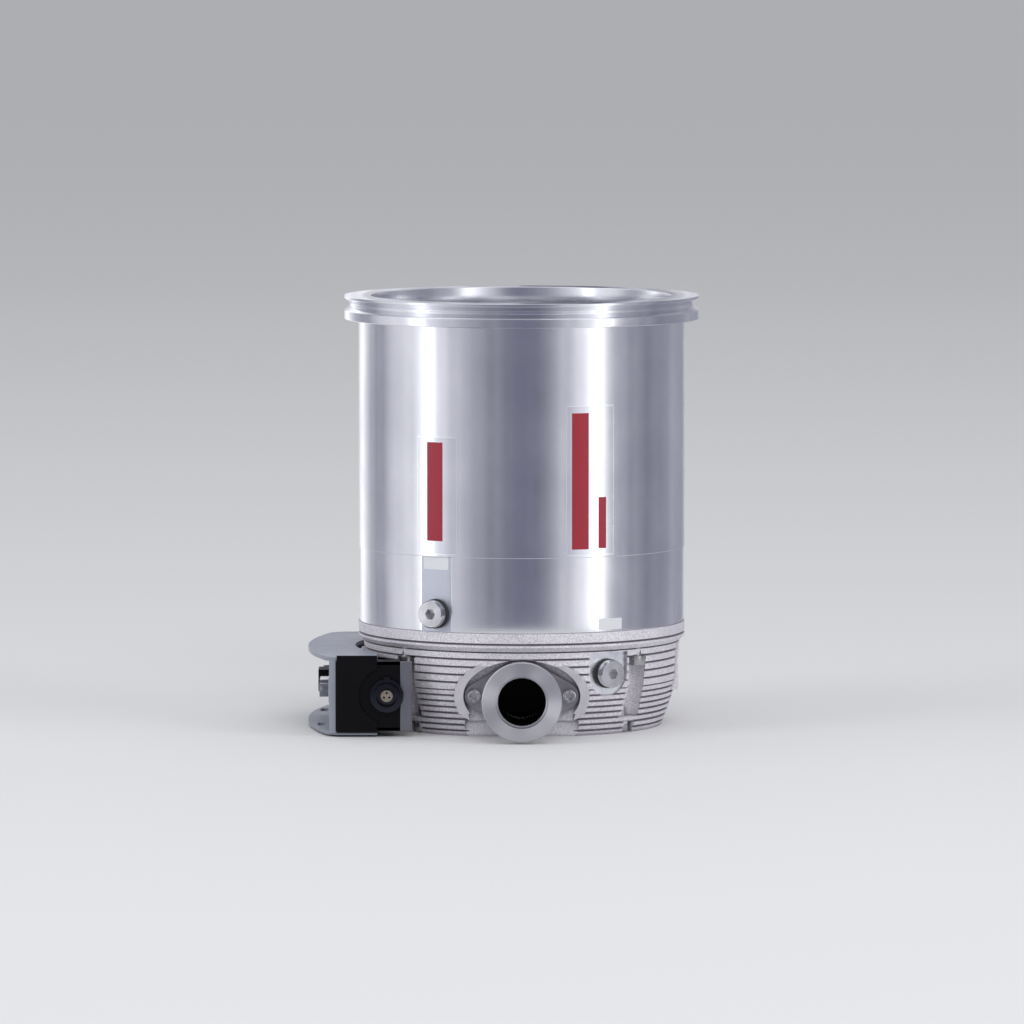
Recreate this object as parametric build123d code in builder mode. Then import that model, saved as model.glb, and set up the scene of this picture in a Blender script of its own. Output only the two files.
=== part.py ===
"""Turbomolecular pump with a clamp-flange inlet, a finned base and a side-mounted drive unit.

Millimetres, +Z up. The origin is on the rotor axis, in the plane that the base stands on.
-Y is the foreline side, -X the side that carries the drive unit.
"""

from build123d import *
import os
from math import asin, cos, degrees, pi, radians, sin, sqrt, tan

os.makedirs("parts", exist_ok=True)

# ---------------------------------------------------------------- fits and clearances
fit = 0.05                  # radial or axial play between pieces that are pushed together
blade_gap = 0.8             # running gap between turning and standing blade rows
drag_gap = 0.6              # running gap on each side of the drag drum
magnet_gap = 0.8            # running gap between the standing and turning magnet rings
motor_gap = 1.0             # air gap between the motor magnet and the motor core

# ---------------------------------------------------------------- inlet housing
base_height = 52.8          # height of the parting plane between base and inlet housing
housing_height = 165.2
flange_radius = 90.0
flange_thickness = 12.0
flange_lip = 1.3            # height of the sealing lip above the clamp groove
clamp_groove_depth = 2.8
clamp_groove_flank = 2.3    # height of each sloping flank of the clamp groove
clamp_groove_floor = 1.6
flange_chamfer = 0.6
inlet_radius = 76.5
tube_radius = 82.7
band_radius = 82.3          # finely turned band above the parting plane
band_height = 37.7
foot_bore_radius = 72.0     # the thick-walled foot of the tube

# ---------------------------------------------------------------- blade stack
ring_top_drop = 11.0        # inlet face to the top of the bearing star
snap_ring_height = 2.5
snap_ring_reach = 1.4       # how far the snap ring sits in the housing wall
snap_ring_width = 3.6
star_height = 6.0
star_to_rotor = 2.0         # axial gap between the bearing star and the first blade row
rotor_heights = (9.0, 8.0, 7.0, 6.0, 5.0, 5.0)
rotor_blades = (18, 18, 20, 24, 28, 28)
rotor_angles = (42.0, 40.0, 36.0, 32.0, 28.0, 26.0)
hub_radii = (32.0, 32.0, 36.0, 42.0, 47.0, 50.0)
stator_heights = (5.0, 4.5, 4.0, 3.5, 3.5)
rotor_blade_thickness = 1.5
stator_blade_thickness = 1.0
spacer_wall = 3.0
stator_rim_height = 1.2
stator_rim_reach = 0.8      # how far the rim reaches in past the spacer rings
stator_inner_ring = 1.6
stator_split = 0.3          # gap between the two half discs
bell_height = 8.5           # solid lower plate of the rotor, which carries the drag drum

# ---------------------------------------------------------------- bearings and shaft
shaft_radius = 6.0
shaft_motor_radius = 8.0
shaft_hub_radius = 9.0
stub_radius = 3.7
stub_play = 0.3
bearing_radius = 14.0
bearing_width = 8.0
bearing_z = 29.0            # underside of the main bearing
ball_radius = 2.2
ball_count = 7
ball_play = 0.04
race_wall = 2.6
cage_wall = 1.5
cage_height = 5.6
damper_gap = 2.0            # radial room for the elastic rings round the main bearing
damper_squeeze = 0.08
nut_radius = 8.5
nut_height = 4.0
touchdown_radius = 8.0
touchdown_width = 5.0
carrier_wall = 3.0          # tube of the bearing star that carries the standing magnets
magnet_wall = 4.0
magnet_height = 6.6
magnet_count = 3
magnet_pitch = 6.9
magnet_recess_depth = 29.0
star_arm_width = 6.0
star_arm_count = 3
star_cap_radius = 11.0
star_cap_height = 1.5

# ---------------------------------------------------------------- drag stage and motor
drum_radius = 62.0
drum_wall = 2.5
drum_height = 66.0
land_height = 3.0
land_width = 11.0
land_count = 6
land_twist = 50.0
land_levels = 4
drag_lip_height = 3.0
inner_drag_wall = 4.0
inner_drag_plate = 4.0
motor_radius = 30.0
motor_wall = 4.0
motor_core_height = 30.0
motor_core_z = 66.0
winding_height = 7.0
winding_inset = 1.0
motor_magnet_radius = 13.5

# ---------------------------------------------------------------- base casting
base_ring_radius = 82.8
base_ring_z = 45.7          # underside of the thick upper ring
base_waist_z = 43.1
base_waist_radius = 80.2
taper_z = 26.0              # the wall narrows below this height
taper_radius = 79.3
taper_drop = 8.3
taper_power = 1.25
groove_depth = 1.4
groove_half = 0.6
upper_groove_z = 47.3
upper_groove_pitch = 3.95
upper_grooves = 7
lower_groove_pitch = 3.03
lower_grooves = 7
chamber_radius = 64.0
chamber_floor = 14.0
spigot_height = 3.0
seal_cord = 1.7             # thickness of the seal rings at the parting plane and the port
seal_radius = 73.6
seal_groove_width = 2.2
seal_groove_depth = 1.75
hub_column_radius = 30.0
hub_column_top = 50.0
hub_hole_radius = 10.0
skirt_recess_radius = 63.0
skirt_recess_depth = 5.8
screw_azimuth = 48.0
housing_screw_circle = 77.6
housing_screw_seat = 39.4
housing_screw_length = 22.0
cover_screw_circle = 67.5
cover_screw_slot = 7.6
cover_thickness = 1.5
cover_screw_length = 8.0
flute_radius = 4.75
flute_floor_z = 8.1
flute_foot_circle = 72.0
foot_hole_radius = 2.5
foot_hole_circle = 67.0
foot_hole_depth = 12.0
foot_hole_count = 3
side_pad_x = 79.3
side_pad_half = 17.0
side_pad_low = 18.5

# ---------------------------------------------------------------- foreline port
port_z = 21.0
port_face_y = 108.0         # distance of the port's face from the rotor axis
port_bore_radius = 12.0
port_recess_radius = 13.1
port_recess_depth = 3.0
port_flange_radius = 20.0
port_flange_rim = 3.0
port_flange_taper = 15.0
port_neck_radius = 14.0
port_seat_y = 68.5
port_plate_thickness = 4.5
port_plate_half_width = 28.4
port_plate_half_height = 17.4
port_plate_gap = 0.9
port_plain_band = 4.6       # smooth strip of casting round the port's pocket
port_screw_spacing = 47.6
port_screw_length = 10.0
port_seal_radius = 15.2
port_clear_half = 28.4      # cut-out under the port, for a clamp ring
port_clear_z = 8.1
port_clear_y = 66.0

# ---------------------------------------------------------------- vent and purge plugs
plug_radius = 7.0
plug_collar = 4.0
plug_thread_radius = 4.85
plug_thread_length = 7.0
plug_socket = 5.0
washer_height = 2.0
washer_radius = 7.4
vent_azimuth = -31.5
vent_z = 62.0
vent_flat_half = 8.4
purge_azimuth = 33.5
purge_z = 31.5
purge_flat_radius = 77.0
purge_spot_radius = 11.2
purge_spot_top = 42.2
plug_channel_radius = 1.5

# ---------------------------------------------------------------- drive unit
drive_low = 1.0
drive_high = 40.0
sheet = 2.0
panel_thickness = 3.2
panel_x = 96.5              # outer face of the connector panel, on the -X side
plate_bulge_x = 108.4       # how far the top and bottom plates reach at the middle
drive_half_depth = 71.0
plate_corner = 9.0
drive_inner_radius = 84.5
front_wall_end_x = 55.0
front_cover_thickness = 1.5
case_end_x = 60.9
front_cover_end_x = 72.4
front_cover_margin = 1.2
socket_x = 67.6
socket_z = 21.0
socket_bite_radius = 13.9
socket_nut_radius = 8.4
socket_nut_height = 3.0
socket_shell_radius = 6.4
socket_shell_wall = 1.1
socket_tail_radius = 4.6
socket_tail_length = 8.0
socket_shell_reach = 8.0
socket_insert_radius = 3.0
socket_insert_drop = 4.0
socket_hole_radius = 0.55
socket_hole_circle = 1.55
boss_radius = 5.0
boss_azimuth = 20.0         # either side of the -X direction
boss_heights = (12.0, 30.0)
boss_screw_length = 8.0
board_thickness = 1.6
board_gap = 4.0             # between connector panel and circuit board
board_margin = 4.0
capacitor_radius = 6.0
capacitor_length = 9.0
capacitor_y = 44.0
chip_y = 26.0
feed_radius = 8.0
feed_flange_radius = 11.0
feed_z = 27.0
feed_seat_radius = 81.2
feed_pin_radius = 0.9
feed_pin_circle = 4.5
feed_pin_reach = 3.5
dsub_y = -25.0
dsub_width = 39.0
dsub_height = 12.5
dsub_shell_width = 25.0
dsub_shell_height = 8.4
dsub_reach = 5.5
dsub_flange = 0.9
jackscrew_spacing = 33.3
jackscrew_radius = 2.6
jackscrew_height = 4.6
power_y = 14.0
power_width = 17.0
power_height = 11.0
power_reach = 7.0
service_y = 38.0
service_radius = 5.0
service_reach = 5.0
standoff_radius = 3.0
slot_length = 14.0
slot_width = 4.0

# ---------------------------------------------------------------- derived heights
inlet_z = base_height + housing_height
star_top = inlet_z - ring_top_drop
star_bottom = star_top - star_height
rotor_top = star_bottom - star_to_rotor
spacer_outer = inlet_radius - 2 * fit
spacer_inner = spacer_outer - spacer_wall
tip_radius = spacer_inner - blade_gap

row_tops = [rotor_top]      # upper edge of each rotor row
for rotor_h, stator_h in zip(rotor_heights, stator_heights):
    row_tops.append(row_tops[-1] - rotor_h - stator_h - 2 * blade_gap)
stator_mids = [
    top - rotor_h - blade_gap - stator_h / 2
    for top, rotor_h, stator_h in zip(row_tops, rotor_heights, stator_heights)
]
row_floor = row_tops[-1] - rotor_heights[-1]
rotor_bottom = row_floor - bell_height
stack_floor = row_floor - 2 * blade_gap
drag_seat = stack_floor - drag_lip_height
drum_top = rotor_bottom + bell_height - 2 * blade_gap
drum_bottom = drum_top - drum_height

# ---------------------------------------------------------------- derived radii
drum_inner = drum_radius - drum_wall
outer_land_tip = drum_radius + drag_gap
outer_sleeve = outer_land_tip + land_height
drag_outer = foot_bore_radius - fit
inner_land_tip = drum_inner - drag_gap
inner_sleeve = inner_land_tip - land_height
carrier_radius = touchdown_radius + carrier_wall
stator_magnet_radius = carrier_radius + fit + magnet_wall
rotor_magnet_inner = stator_magnet_radius + magnet_gap
magnet_recess_radius = rotor_magnet_inner + magnet_wall + fit
motor_core_inner = motor_magnet_radius + motor_gap
ball_circle = (shaft_radius + bearing_radius) / 2
magnet_top = rotor_top - 3.0
vent_flat_radius = sqrt(band_radius**2 - vent_flat_half**2)
drive_plate_low = drive_low + sheet
drive_plate_high = drive_high - sheet


# ---------------------------------------------------------------- shared shapes
def on_circle(azimuth, radius):
    """A point on a circle round the rotor axis; azimuth 0 is the foreline side, positive towards +X."""
    return radius * sin(radians(azimuth)), -radius * cos(radians(azimuth))


def radial_plane(azimuth, radius, z):
    """A plane facing outwards, with its own Y axis along +Z."""
    x, y = on_circle(azimuth, radius)
    outward = Vector(sin(radians(azimuth)), -cos(radians(azimuth)), 0)
    return Plane(origin=(x, y, z), x_dir=Vector(0, 0, 1).cross(outward), z_dir=outward)


def cap_screw(thread_radius, length, socket):
    """A socket-head screw: head upwards from Z 0, shank downwards."""
    head_radius = 1.7 * thread_radius
    head_height = 2 * thread_radius
    with BuildPart() as screw:
        Cylinder(head_radius, head_height, align=(Align.CENTER, Align.CENTER, Align.MIN))
        Cylinder(thread_radius, length, align=(Align.CENTER, Align.CENTER, Align.MAX))
        with BuildSketch(Plane.XY.offset(head_height)):
            RegularPolygon(socket / 2, 6, major_radius=False)
        extrude(amount=-0.55 * head_height, mode=Mode.SUBTRACT)
    return screw.part


def blade_row(z_low, z_high, r_in, r_out, count, angle, thickness, turn=0.0):
    """Straight blades that all lean the same way, between two radii."""
    lean = (z_high - z_low) / tan(radians(angle)) / 2
    half = abs(thickness / sin(radians(angle)) / 2)
    with BuildPart() as blade:
        with BuildSketch(Plane.YZ.offset(r_in)):
            with BuildLine():
                Polyline(
                    (-lean - half, z_low),
                    (-lean + half, z_low),
                    (lean + half, z_high),
                    (lean - half, z_high),
                    close=True,
                )
            make_face()
        extrude(amount=r_out - r_in)
    with BuildPart() as row:
        with PolarLocations(0, count, start_angle=turn):
            add(blade.part)
    return row.part


def tube(r_in, r_out, z_low, z_high):
    """A plain ring round the rotor axis."""
    with BuildPart() as ring:
        with BuildSketch(Plane.XY.offset(z_low)):
            Circle(r_out)
            Circle(r_in, mode=Mode.SUBTRACT)
        extrude(amount=z_high - z_low)
    return ring.part


def spiral_lands(r_tip, r_root, z_low, z_high, twist):
    """Spiral lands of a drag stage, from r_root to 1 mm past r_tip, which the caller trims."""
    r_tip += 1 if r_tip > r_root else -1
    half_tip = degrees(asin(land_width / 2 / r_tip))
    half_root = degrees(asin(land_width / 2 / r_root))
    with BuildPart() as land:
        for level in range(land_levels + 1):
            share = level / land_levels
            z = z_low + share * (z_high - z_low)
            corners = [
                (r_tip, share * twist - half_tip),
                (r_root, share * twist - half_root),
                (r_root, share * twist + half_root),
                (r_tip, share * twist + half_tip),
            ]
            with BuildSketch(Plane.XY.offset(z)):
                with BuildLine():
                    Polyline([(r * cos(radians(a)), r * sin(radians(a))) for r, a in corners], close=True)
                make_face()
        loft(ruled=True)
    with BuildPart() as lands:
        with PolarLocations(0, land_count):
            add(land.part)
    return lands.part


def oval_plate(half_width, half_height, lobe_radius):
    """A flat oval flange outline: one large circle and two lobes, with straight tangents between them."""
    with BuildSketch() as outline:
        with BuildLine():
            CenterArc((0, 0), half_height, 0, 360)
            CenterArc((half_width - lobe_radius, 0), lobe_radius, 0, 360)
            CenterArc((lobe_radius - half_width, 0), lobe_radius, 0, 360)
        make_hull()
    return outline.sketch


def plate_outline(inset=0.0):
    """The drive unit's top and bottom plate: bulged outwards, hollowed round the pump's base."""
    side = drive_half_depth - inset
    shoulder = panel_x - inset
    end = case_end_x + inset
    with BuildSketch() as outline:
        with BuildLine():
            front = Line((-end, -side), (-shoulder, -side))
            bulge = ThreePointArc(front @ 1, (-plate_bulge_x + inset, 0), (-shoulder, side))
            Polyline(bulge @ 1, (-end, side), front @ 0)
        make_face()
        fillet(outline.vertices().sort_by(Axis.X)[:2], plate_corner)
        Circle(drive_inner_radius + inset, mode=Mode.SUBTRACT)
    return outline.sketch


# ================================================================ static pieces of the vacuum case
# Inlet housing: turned aluminium tube with the clamp flange, a snap-ring groove and a thick-walled foot.
groove_mid = inlet_z - flange_lip - clamp_groove_flank
with BuildPart() as inlet_housing:
    with BuildSketch(Plane.XZ):
        with BuildLine():
            Polyline(
                (foot_bore_radius, base_height),
                (band_radius, base_height),
                (band_radius, base_height + band_height),
                (tube_radius, base_height + band_height + 0.4),
                (tube_radius, inlet_z - flange_thickness),
                (flange_radius - flange_chamfer, inlet_z - flange_thickness),
                (flange_radius, inlet_z - flange_thickness + flange_chamfer),
                (flange_radius, groove_mid - clamp_groove_floor - clamp_groove_flank),
                (flange_radius - clamp_groove_depth, groove_mid - clamp_groove_floor),
                (flange_radius - clamp_groove_depth, groove_mid),
                (flange_radius, inlet_z - flange_lip),
                (flange_radius, inlet_z),
                (inlet_radius + flange_chamfer, inlet_z),
                (inlet_radius, inlet_z - flange_chamfer),
                (inlet_radius, star_top + snap_ring_height + fit),
                (inlet_radius + snap_ring_reach, star_top + snap_ring_height + fit),
                (inlet_radius + snap_ring_reach, star_top),
                (inlet_radius, star_top),
                (inlet_radius, drag_seat),
                (foot_bore_radius, drag_seat),
                close=True,
            )
        make_face()
    revolve(axis=Axis.Z)
    # the upright flat that carries the vent plug, its thread and the drilling behind it
    with BuildSketch(radial_plane(vent_azimuth, vent_flat_radius, base_height + band_height / 2)):
        Rectangle(3 * vent_flat_half, band_height)
    extrude(amount=3, mode=Mode.SUBTRACT)
    with Locations(radial_plane(vent_azimuth, vent_flat_radius, vent_z)):
        Hole(plug_thread_radius + fit, plug_thread_length + 0.6)
        Hole(plug_channel_radius, vent_flat_radius - foot_bore_radius + 1)
    # tapped holes for the housing screws
    for azimuth in (screw_azimuth, 180 - screw_azimuth, -screw_azimuth, screw_azimuth - 180):
        x, y = on_circle(azimuth, housing_screw_circle)
        with BuildSketch(Plane(origin=(x, y, base_height))):
            Circle(2.5 + fit)
        extrude(amount=housing_screw_seat + housing_screw_length - base_height + 1, mode=Mode.SUBTRACT)
inlet_housing.part.label = "inlet_housing"
export_step(inlet_housing.part, "parts/inlet_housing.step")

# Base casting: finned aluminium wall, annular foreline chamber, hub column for the motor and main bearing.
hub_bearing_z = bearing_z - 2.0
with BuildPart() as base_casting:
    with BuildSketch(Plane.XZ):
        with BuildLine():
            foot = Line((skirt_recess_radius, 0), (taper_radius - taper_drop, 0))
            slope = ThreePointArc(
                foot @ 1,
                (taper_radius - taper_drop * 0.5**taper_power, taper_z / 2),
                (taper_radius, taper_z),
            )
            Polyline(
                slope @ 1,
                (base_waist_radius, base_waist_z),
                (base_ring_radius, base_ring_z),
                (base_ring_radius, base_height),
                (foot_bore_radius - fit, base_height),
                (foot_bore_radius - fit, base_height + spigot_height),
                (chamber_radius, base_height + spigot_height),
                (chamber_radius, chamber_floor),
                (hub_column_radius, chamber_floor),
                (hub_column_radius, hub_column_top),
                (bearing_radius + damper_gap, hub_column_top),
                (bearing_radius + damper_gap, hub_bearing_z),
                (hub_hole_radius, hub_bearing_z),
                (hub_hole_radius, skirt_recess_depth),
                (skirt_recess_radius, skirt_recess_depth),
                foot @ 0,
            )
        make_face()
    revolve(axis=Axis.Z)
    # cooling grooves: upper set on the straight wall, lower set on the taper
    with BuildSketch(Plane.XZ) as groove_profiles:
        for step in range(upper_grooves):
            z = upper_groove_z - step * upper_groove_pitch
            reach = base_ring_radius if z > base_ring_z else taper_radius + 0.9 * min(1, max(0, (z - taper_z) / 17))
            with BuildLine():
                Polyline(
                    (reach + 0.4, z - groove_half * 1.3),
                    (reach + 0.4, z + groove_half * 1.3),
                    (reach - groove_depth, z),
                    close=True,
                )
            make_face()
        for step in range(lower_grooves):
            z = lower_groove_pitch * (0.85 + step)
            reach = taper_radius - taper_drop * (1 - z / taper_z) ** taper_power
            with BuildLine():
                Polyline(
                    (reach + 0.5, z - groove_half * 1.5),
                    (reach + 0.5, z + groove_half * 1.5),
                    (reach - groove_depth, z),
                    close=True,
                )
            make_face()
    revolve(axis=Axis.Z, mode=Mode.SUBTRACT)
    # smooth boss and machined face on the +X side
    with BuildSketch(Plane.XY.offset(side_pad_low)) as pad:
        with Locations(((side_pad_x + chamber_radius) / 2 + 2, 0)):
            Rectangle(side_pad_x - chamber_radius - 4, 2 * side_pad_half)
    extrude(amount=base_waist_z - side_pad_low)
    # seat and pocket of the foreline port, with a smooth band of casting round it
    with BuildSketch(Plane.XZ.offset(port_seat_y)):
        with Locations((0, port_z)):
            add(oval_plate(port_plate_half_width + port_plate_gap + port_plain_band,
                           port_plate_half_height + port_plate_gap + 0.4, 13.0))
    extrude(amount=taper_radius - 1.6 - port_seat_y)
    with BuildSketch(Plane.XZ.offset(taper_radius - 2.2)):
        with Locations((0, port_z)):
            add(oval_plate(port_plate_half_width + port_plate_gap + port_plain_band,
                           port_plate_half_height + port_plate_gap + 0.8, 13.0))
    extrude(amount=8, mode=Mode.SUBTRACT)
    with BuildSketch(Plane.XZ.offset(port_seat_y)):
        with Locations((0, port_z)):
            add(oval_plate(port_plate_half_width + port_plate_gap, port_plate_half_height + port_plate_gap, 8.5))
        with BuildLine():
            pocket_half = port_plate_half_width + port_plate_gap
            Polyline(
                (-pocket_half, port_z),
                (pocket_half, port_z),
                (pocket_half - 3.6, port_clear_z),
                (3.6 - pocket_half, port_clear_z),
                close=True,
            )
        make_face()
    extrude(amount=20, mode=Mode.SUBTRACT)
    with BuildSketch(Plane.XZ.offset(port_clear_y)):
        with Locations((0, port_clear_z / 2 - 1)):
            Rectangle(2 * port_clear_half, port_clear_z + 2)
    extrude(amount=20, mode=Mode.SUBTRACT)
    # foreline bore, its seal groove and tapped holes
    with BuildSketch(Plane.XZ.offset(port_seat_y)):
        with Locations((0, port_z)):
            Circle(port_bore_radius)
    extrude(amount=chamber_radius - port_seat_y - 9, mode=Mode.SUBTRACT)
    with BuildSketch(Plane.XZ.offset(port_seat_y)):
        with Locations((0, port_z)):
            Circle(port_seal_radius + seal_groove_width / 2)
            Circle(port_seal_radius - seal_groove_width / 2, mode=Mode.SUBTRACT)
    extrude(amount=-seal_groove_depth, mode=Mode.SUBTRACT)
    with BuildSketch(Plane.XZ.offset(port_seat_y)):
        with Locations((-port_screw_spacing / 2, port_z), (port_screw_spacing / 2, port_z)):
            Circle(2 + fit)
    extrude(amount=-(port_screw_length - port_plate_thickness + 1), mode=Mode.SUBTRACT)
    # seal groove in the parting plane
    with BuildSketch(Plane.XY.offset(base_height)):
        Circle(seal_radius + seal_groove_width / 2)
        Circle(seal_radius - seal_groove_width / 2, mode=Mode.SUBTRACT)
    extrude(amount=-seal_groove_depth, mode=Mode.SUBTRACT)
    # screw holes, the flutes that give access to them, and the slots of the cover screws
    for azimuth in (screw_azimuth, 180 - screw_azimuth, -screw_azimuth, screw_azimuth - 180):
        x, y = on_circle(azimuth, housing_screw_circle)
        foot_x, foot_y = on_circle(azimuth, flute_foot_circle)
        run = housing_screw_seat - flute_floor_z
        along = Vector(x - foot_x, y - foot_y, run)
        with BuildSketch(Plane(origin=(x, y, housing_screw_seat))):
            Circle(2.5 + fit)
        extrude(amount=base_height, mode=Mode.SUBTRACT)
        with BuildPart(mode=Mode.PRIVATE) as flute:
            with BuildSketch(Plane(origin=Vector(foot_x, foot_y, flute_floor_z) - along * 0.2, z_dir=along)):
                Circle(flute_radius)
            extrude(amount=along.length * 1.4)
            with Locations((x, y, flute_floor_z)):
                Box(40, 40, run, align=(Align.CENTER, Align.CENTER, Align.MIN), mode=Mode.INTERSECT)
        add(flute.part, mode=Mode.SUBTRACT)
        inner = on_circle(azimuth, cover_screw_circle)
        with BuildSketch(Plane(origin=(*inner, 0), x_dir=(sin(radians(azimuth)), -cos(radians(azimuth)), 0))):
            Circle(cover_screw_slot / 2)
            with Locations((10, 0)):
                Rectangle(20, cover_screw_slot)
            with Locations((-5, 0)):
                Rectangle(10, cover_screw_slot)
        extrude(amount=skirt_recess_depth, mode=Mode.SUBTRACT)
        with BuildSketch(Plane(origin=(*inner, skirt_recess_depth))):
            Circle(2 + fit)
        extrude(amount=cover_screw_length - cover_thickness + 0.6, mode=Mode.SUBTRACT)
    # tapped holes in the foot, for fastening the pump to a frame
    for step in range(foot_hole_count):
        x, y = on_circle(90 + step * 360 / foot_hole_count, foot_hole_circle)
        with BuildSketch(Plane(origin=(x, y, 0))):
            Circle(foot_hole_radius)
        extrude(amount=foot_hole_depth, mode=Mode.SUBTRACT)
    # spot face, thread and drilling of the purge plug
    with BuildSketch(radial_plane(purge_azimuth, purge_flat_radius, purge_z)):
        Circle(purge_spot_radius)
        with Locations((0, (purge_spot_top - purge_z) / 2)):
            Rectangle(2 * purge_spot_radius, purge_spot_top - purge_z)
    extrude(amount=8, mode=Mode.SUBTRACT)
    with Locations(radial_plane(purge_azimuth, purge_flat_radius, purge_z)):
        Hole(plug_thread_radius + fit, plug_thread_length + 0.6)
        Hole(plug_channel_radius, purge_flat_radius - chamber_radius + 1)
    # bosses that carry the drive unit, faced just short of its curved wall
    boss_face = sqrt(drive_inner_radius**2 - boss_radius**2) - fit
    for azimuth in (-90 - boss_azimuth, boss_azimuth - 90):
        for z in boss_heights:
            with BuildSketch(radial_plane(azimuth, chamber_radius + 4, z)):
                Circle(boss_radius)
            extrude(amount=boss_face - chamber_radius - 4)
            with Locations(radial_plane(azimuth, boss_face, z)):
                Hole(2 + fit, boss_screw_length)
    # flat seat and passage of the electrical feedthrough
    with BuildSketch(radial_plane(-90, chamber_radius + 2, feed_z)):
        Circle(feed_flange_radius + 1)
    extrude(amount=feed_seat_radius - chamber_radius - 2)
    with Locations(radial_plane(-90, feed_seat_radius, feed_z)):
        Hole(feed_radius + fit, feed_seat_radius + 1 - chamber_radius)
base_casting.part.label = "base_casting"
export_step(base_casting.part, "parts/base_casting.step")

# Seal ring between base and inlet housing.
with BuildPart() as housing_seal:
    add(tube(seal_radius - seal_cord / 2, seal_radius + seal_cord / 2,
             base_height - seal_groove_depth, base_height - fit))
housing_seal.part.label = "housing_seal"
export_step(housing_seal.part, "parts/housing_seal.step")

# Four M5 screws that hold the inlet housing down, driven from below through the flutes.
with BuildPart() as housing_screws:
    for azimuth in (screw_azimuth, 180 - screw_azimuth, -screw_azimuth, screw_azimuth - 180):
        x, y = on_circle(azimuth, housing_screw_circle)
        with Locations(Plane(origin=(x, y, housing_screw_seat), z_dir=(0, 0, -1))):
            add(cap_screw(2.5, housing_screw_length, 4.0))
housing_screws.part.label = "housing_screws"
export_step(housing_screws.part, "parts/housing_screws.step")

# Foreline port: turned steel clamp flange and neck on a flat oval plate.
port_reach = port_face_y - port_seat_y
taper_height = (port_flange_radius - port_neck_radius) * tan(radians(port_flange_taper))
with BuildPart() as foreline_port:
    with BuildSketch(Plane.XZ.offset(port_seat_y)):
        with Locations((0, port_z)):
            add(oval_plate(port_plate_half_width, port_plate_half_height, 6.6))
    extrude(amount=port_plate_thickness)
    with BuildSketch(Plane(origin=(0, -port_seat_y, port_z), x_dir=(1, 0, 0), z_dir=(0, 0, 1))):
        with BuildLine():
            Polyline(
                (0, 0),
                (port_neck_radius, 0),
                (port_neck_radius, port_flange_rim + taper_height - port_reach),
                (port_flange_radius, port_flange_rim - port_reach),
                (port_flange_radius, 0.4 - port_reach),
                (port_flange_radius - 0.4, -port_reach),
                (0, -port_reach),
                close=True,
            )
        make_face()
    revolve(axis=Axis((0, 0, port_z), (0, 1, 0)))
    with BuildSketch(Plane.XZ.offset(port_seat_y)):
        with Locations((0, port_z)):
            Circle(port_bore_radius)
        with Locations((-port_screw_spacing / 2, port_z), (port_screw_spacing / 2, port_z)):
            Circle(2 + fit)
    extrude(amount=port_reach, mode=Mode.SUBTRACT)
    with BuildSketch(Plane.XZ.offset(port_face_y - port_recess_depth)):
        with Locations((0, port_z)):
            Circle(port_recess_radius)
    extrude(amount=port_recess_depth, mode=Mode.SUBTRACT)
foreline_port.part.label = "foreline_port"
export_step(foreline_port.part, "parts/foreline_port.step")

# Seal ring under the port's plate.
with BuildPart() as foreline_seal:
    with BuildSketch(Plane.XZ.offset(port_seat_y - seal_groove_depth)):
        with Locations((0, port_z)):
            Circle(port_seal_radius + seal_cord / 2)
            Circle(port_seal_radius - seal_cord / 2, mode=Mode.SUBTRACT)
    extrude(amount=seal_groove_depth - fit)
foreline_seal.part.label = "foreline_seal"
export_step(foreline_seal.part, "parts/foreline_seal.step")

# Two M4 screws that hold the port.
with BuildPart() as foreline_screws:
    for side in (-1, 1):
        seat = Plane(
            origin=(side * port_screw_spacing / 2, -port_seat_y - port_plate_thickness, port_z),
            x_dir=(1, 0, 0),
            z_dir=(0, -1, 0),
        )
        with Locations(seat):
            add(cap_screw(2.0, port_screw_length, 3.0))
foreline_screws.part.label = "foreline_screws"
export_step(foreline_screws.part, "parts/foreline_screws.step")

# Bottom cover: pressed disc with four ears, closing the hub from below.
cover_z = skirt_recess_depth - cover_thickness
with BuildPart() as bottom_cover:
    with BuildSketch(Plane.XY.offset(cover_z)):
        Circle(skirt_recess_radius - 0.5)
        for azimuth in (screw_azimuth, 180 - screw_azimuth, -screw_azimuth, screw_azimuth - 180):
            x, y = on_circle(azimuth, cover_screw_circle)
            near_x, near_y = on_circle(azimuth, cover_screw_circle - 5)
            with Locations((x, y)):
                Circle(cover_screw_slot / 2 - 0.3)
            with Locations(Location(((x + near_x) / 2, (y + near_y) / 2, 0), azimuth - 90)):
                Rectangle(8, cover_screw_slot - 0.6)
    extrude(amount=cover_thickness)
    with BuildSketch(Plane.XY.offset(cover_z)):
        for azimuth in (screw_azimuth, 180 - screw_azimuth, -screw_azimuth, screw_azimuth - 180):
            with Locations(on_circle(azimuth, cover_screw_circle)):
                Circle(2 + fit)
    extrude(amount=cover_thickness, mode=Mode.SUBTRACT)
bottom_cover.part.label = "bottom_cover"
export_step(bottom_cover.part, "parts/bottom_cover.step")

# Four M4 screws of the bottom cover.
with BuildPart() as cover_screws:
    for azimuth in (screw_azimuth, 180 - screw_azimuth, -screw_azimuth, screw_azimuth - 180):
        x, y = on_circle(azimuth, cover_screw_circle)
        with Locations(Plane(origin=(x, y, cover_z), z_dir=(0, 0, -1))):
            add(cap_screw(2.0, cover_screw_length, 3.0))
cover_screws.part.label = "cover_screws"
export_step(cover_screws.part, "parts/cover_screws.step")

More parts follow.
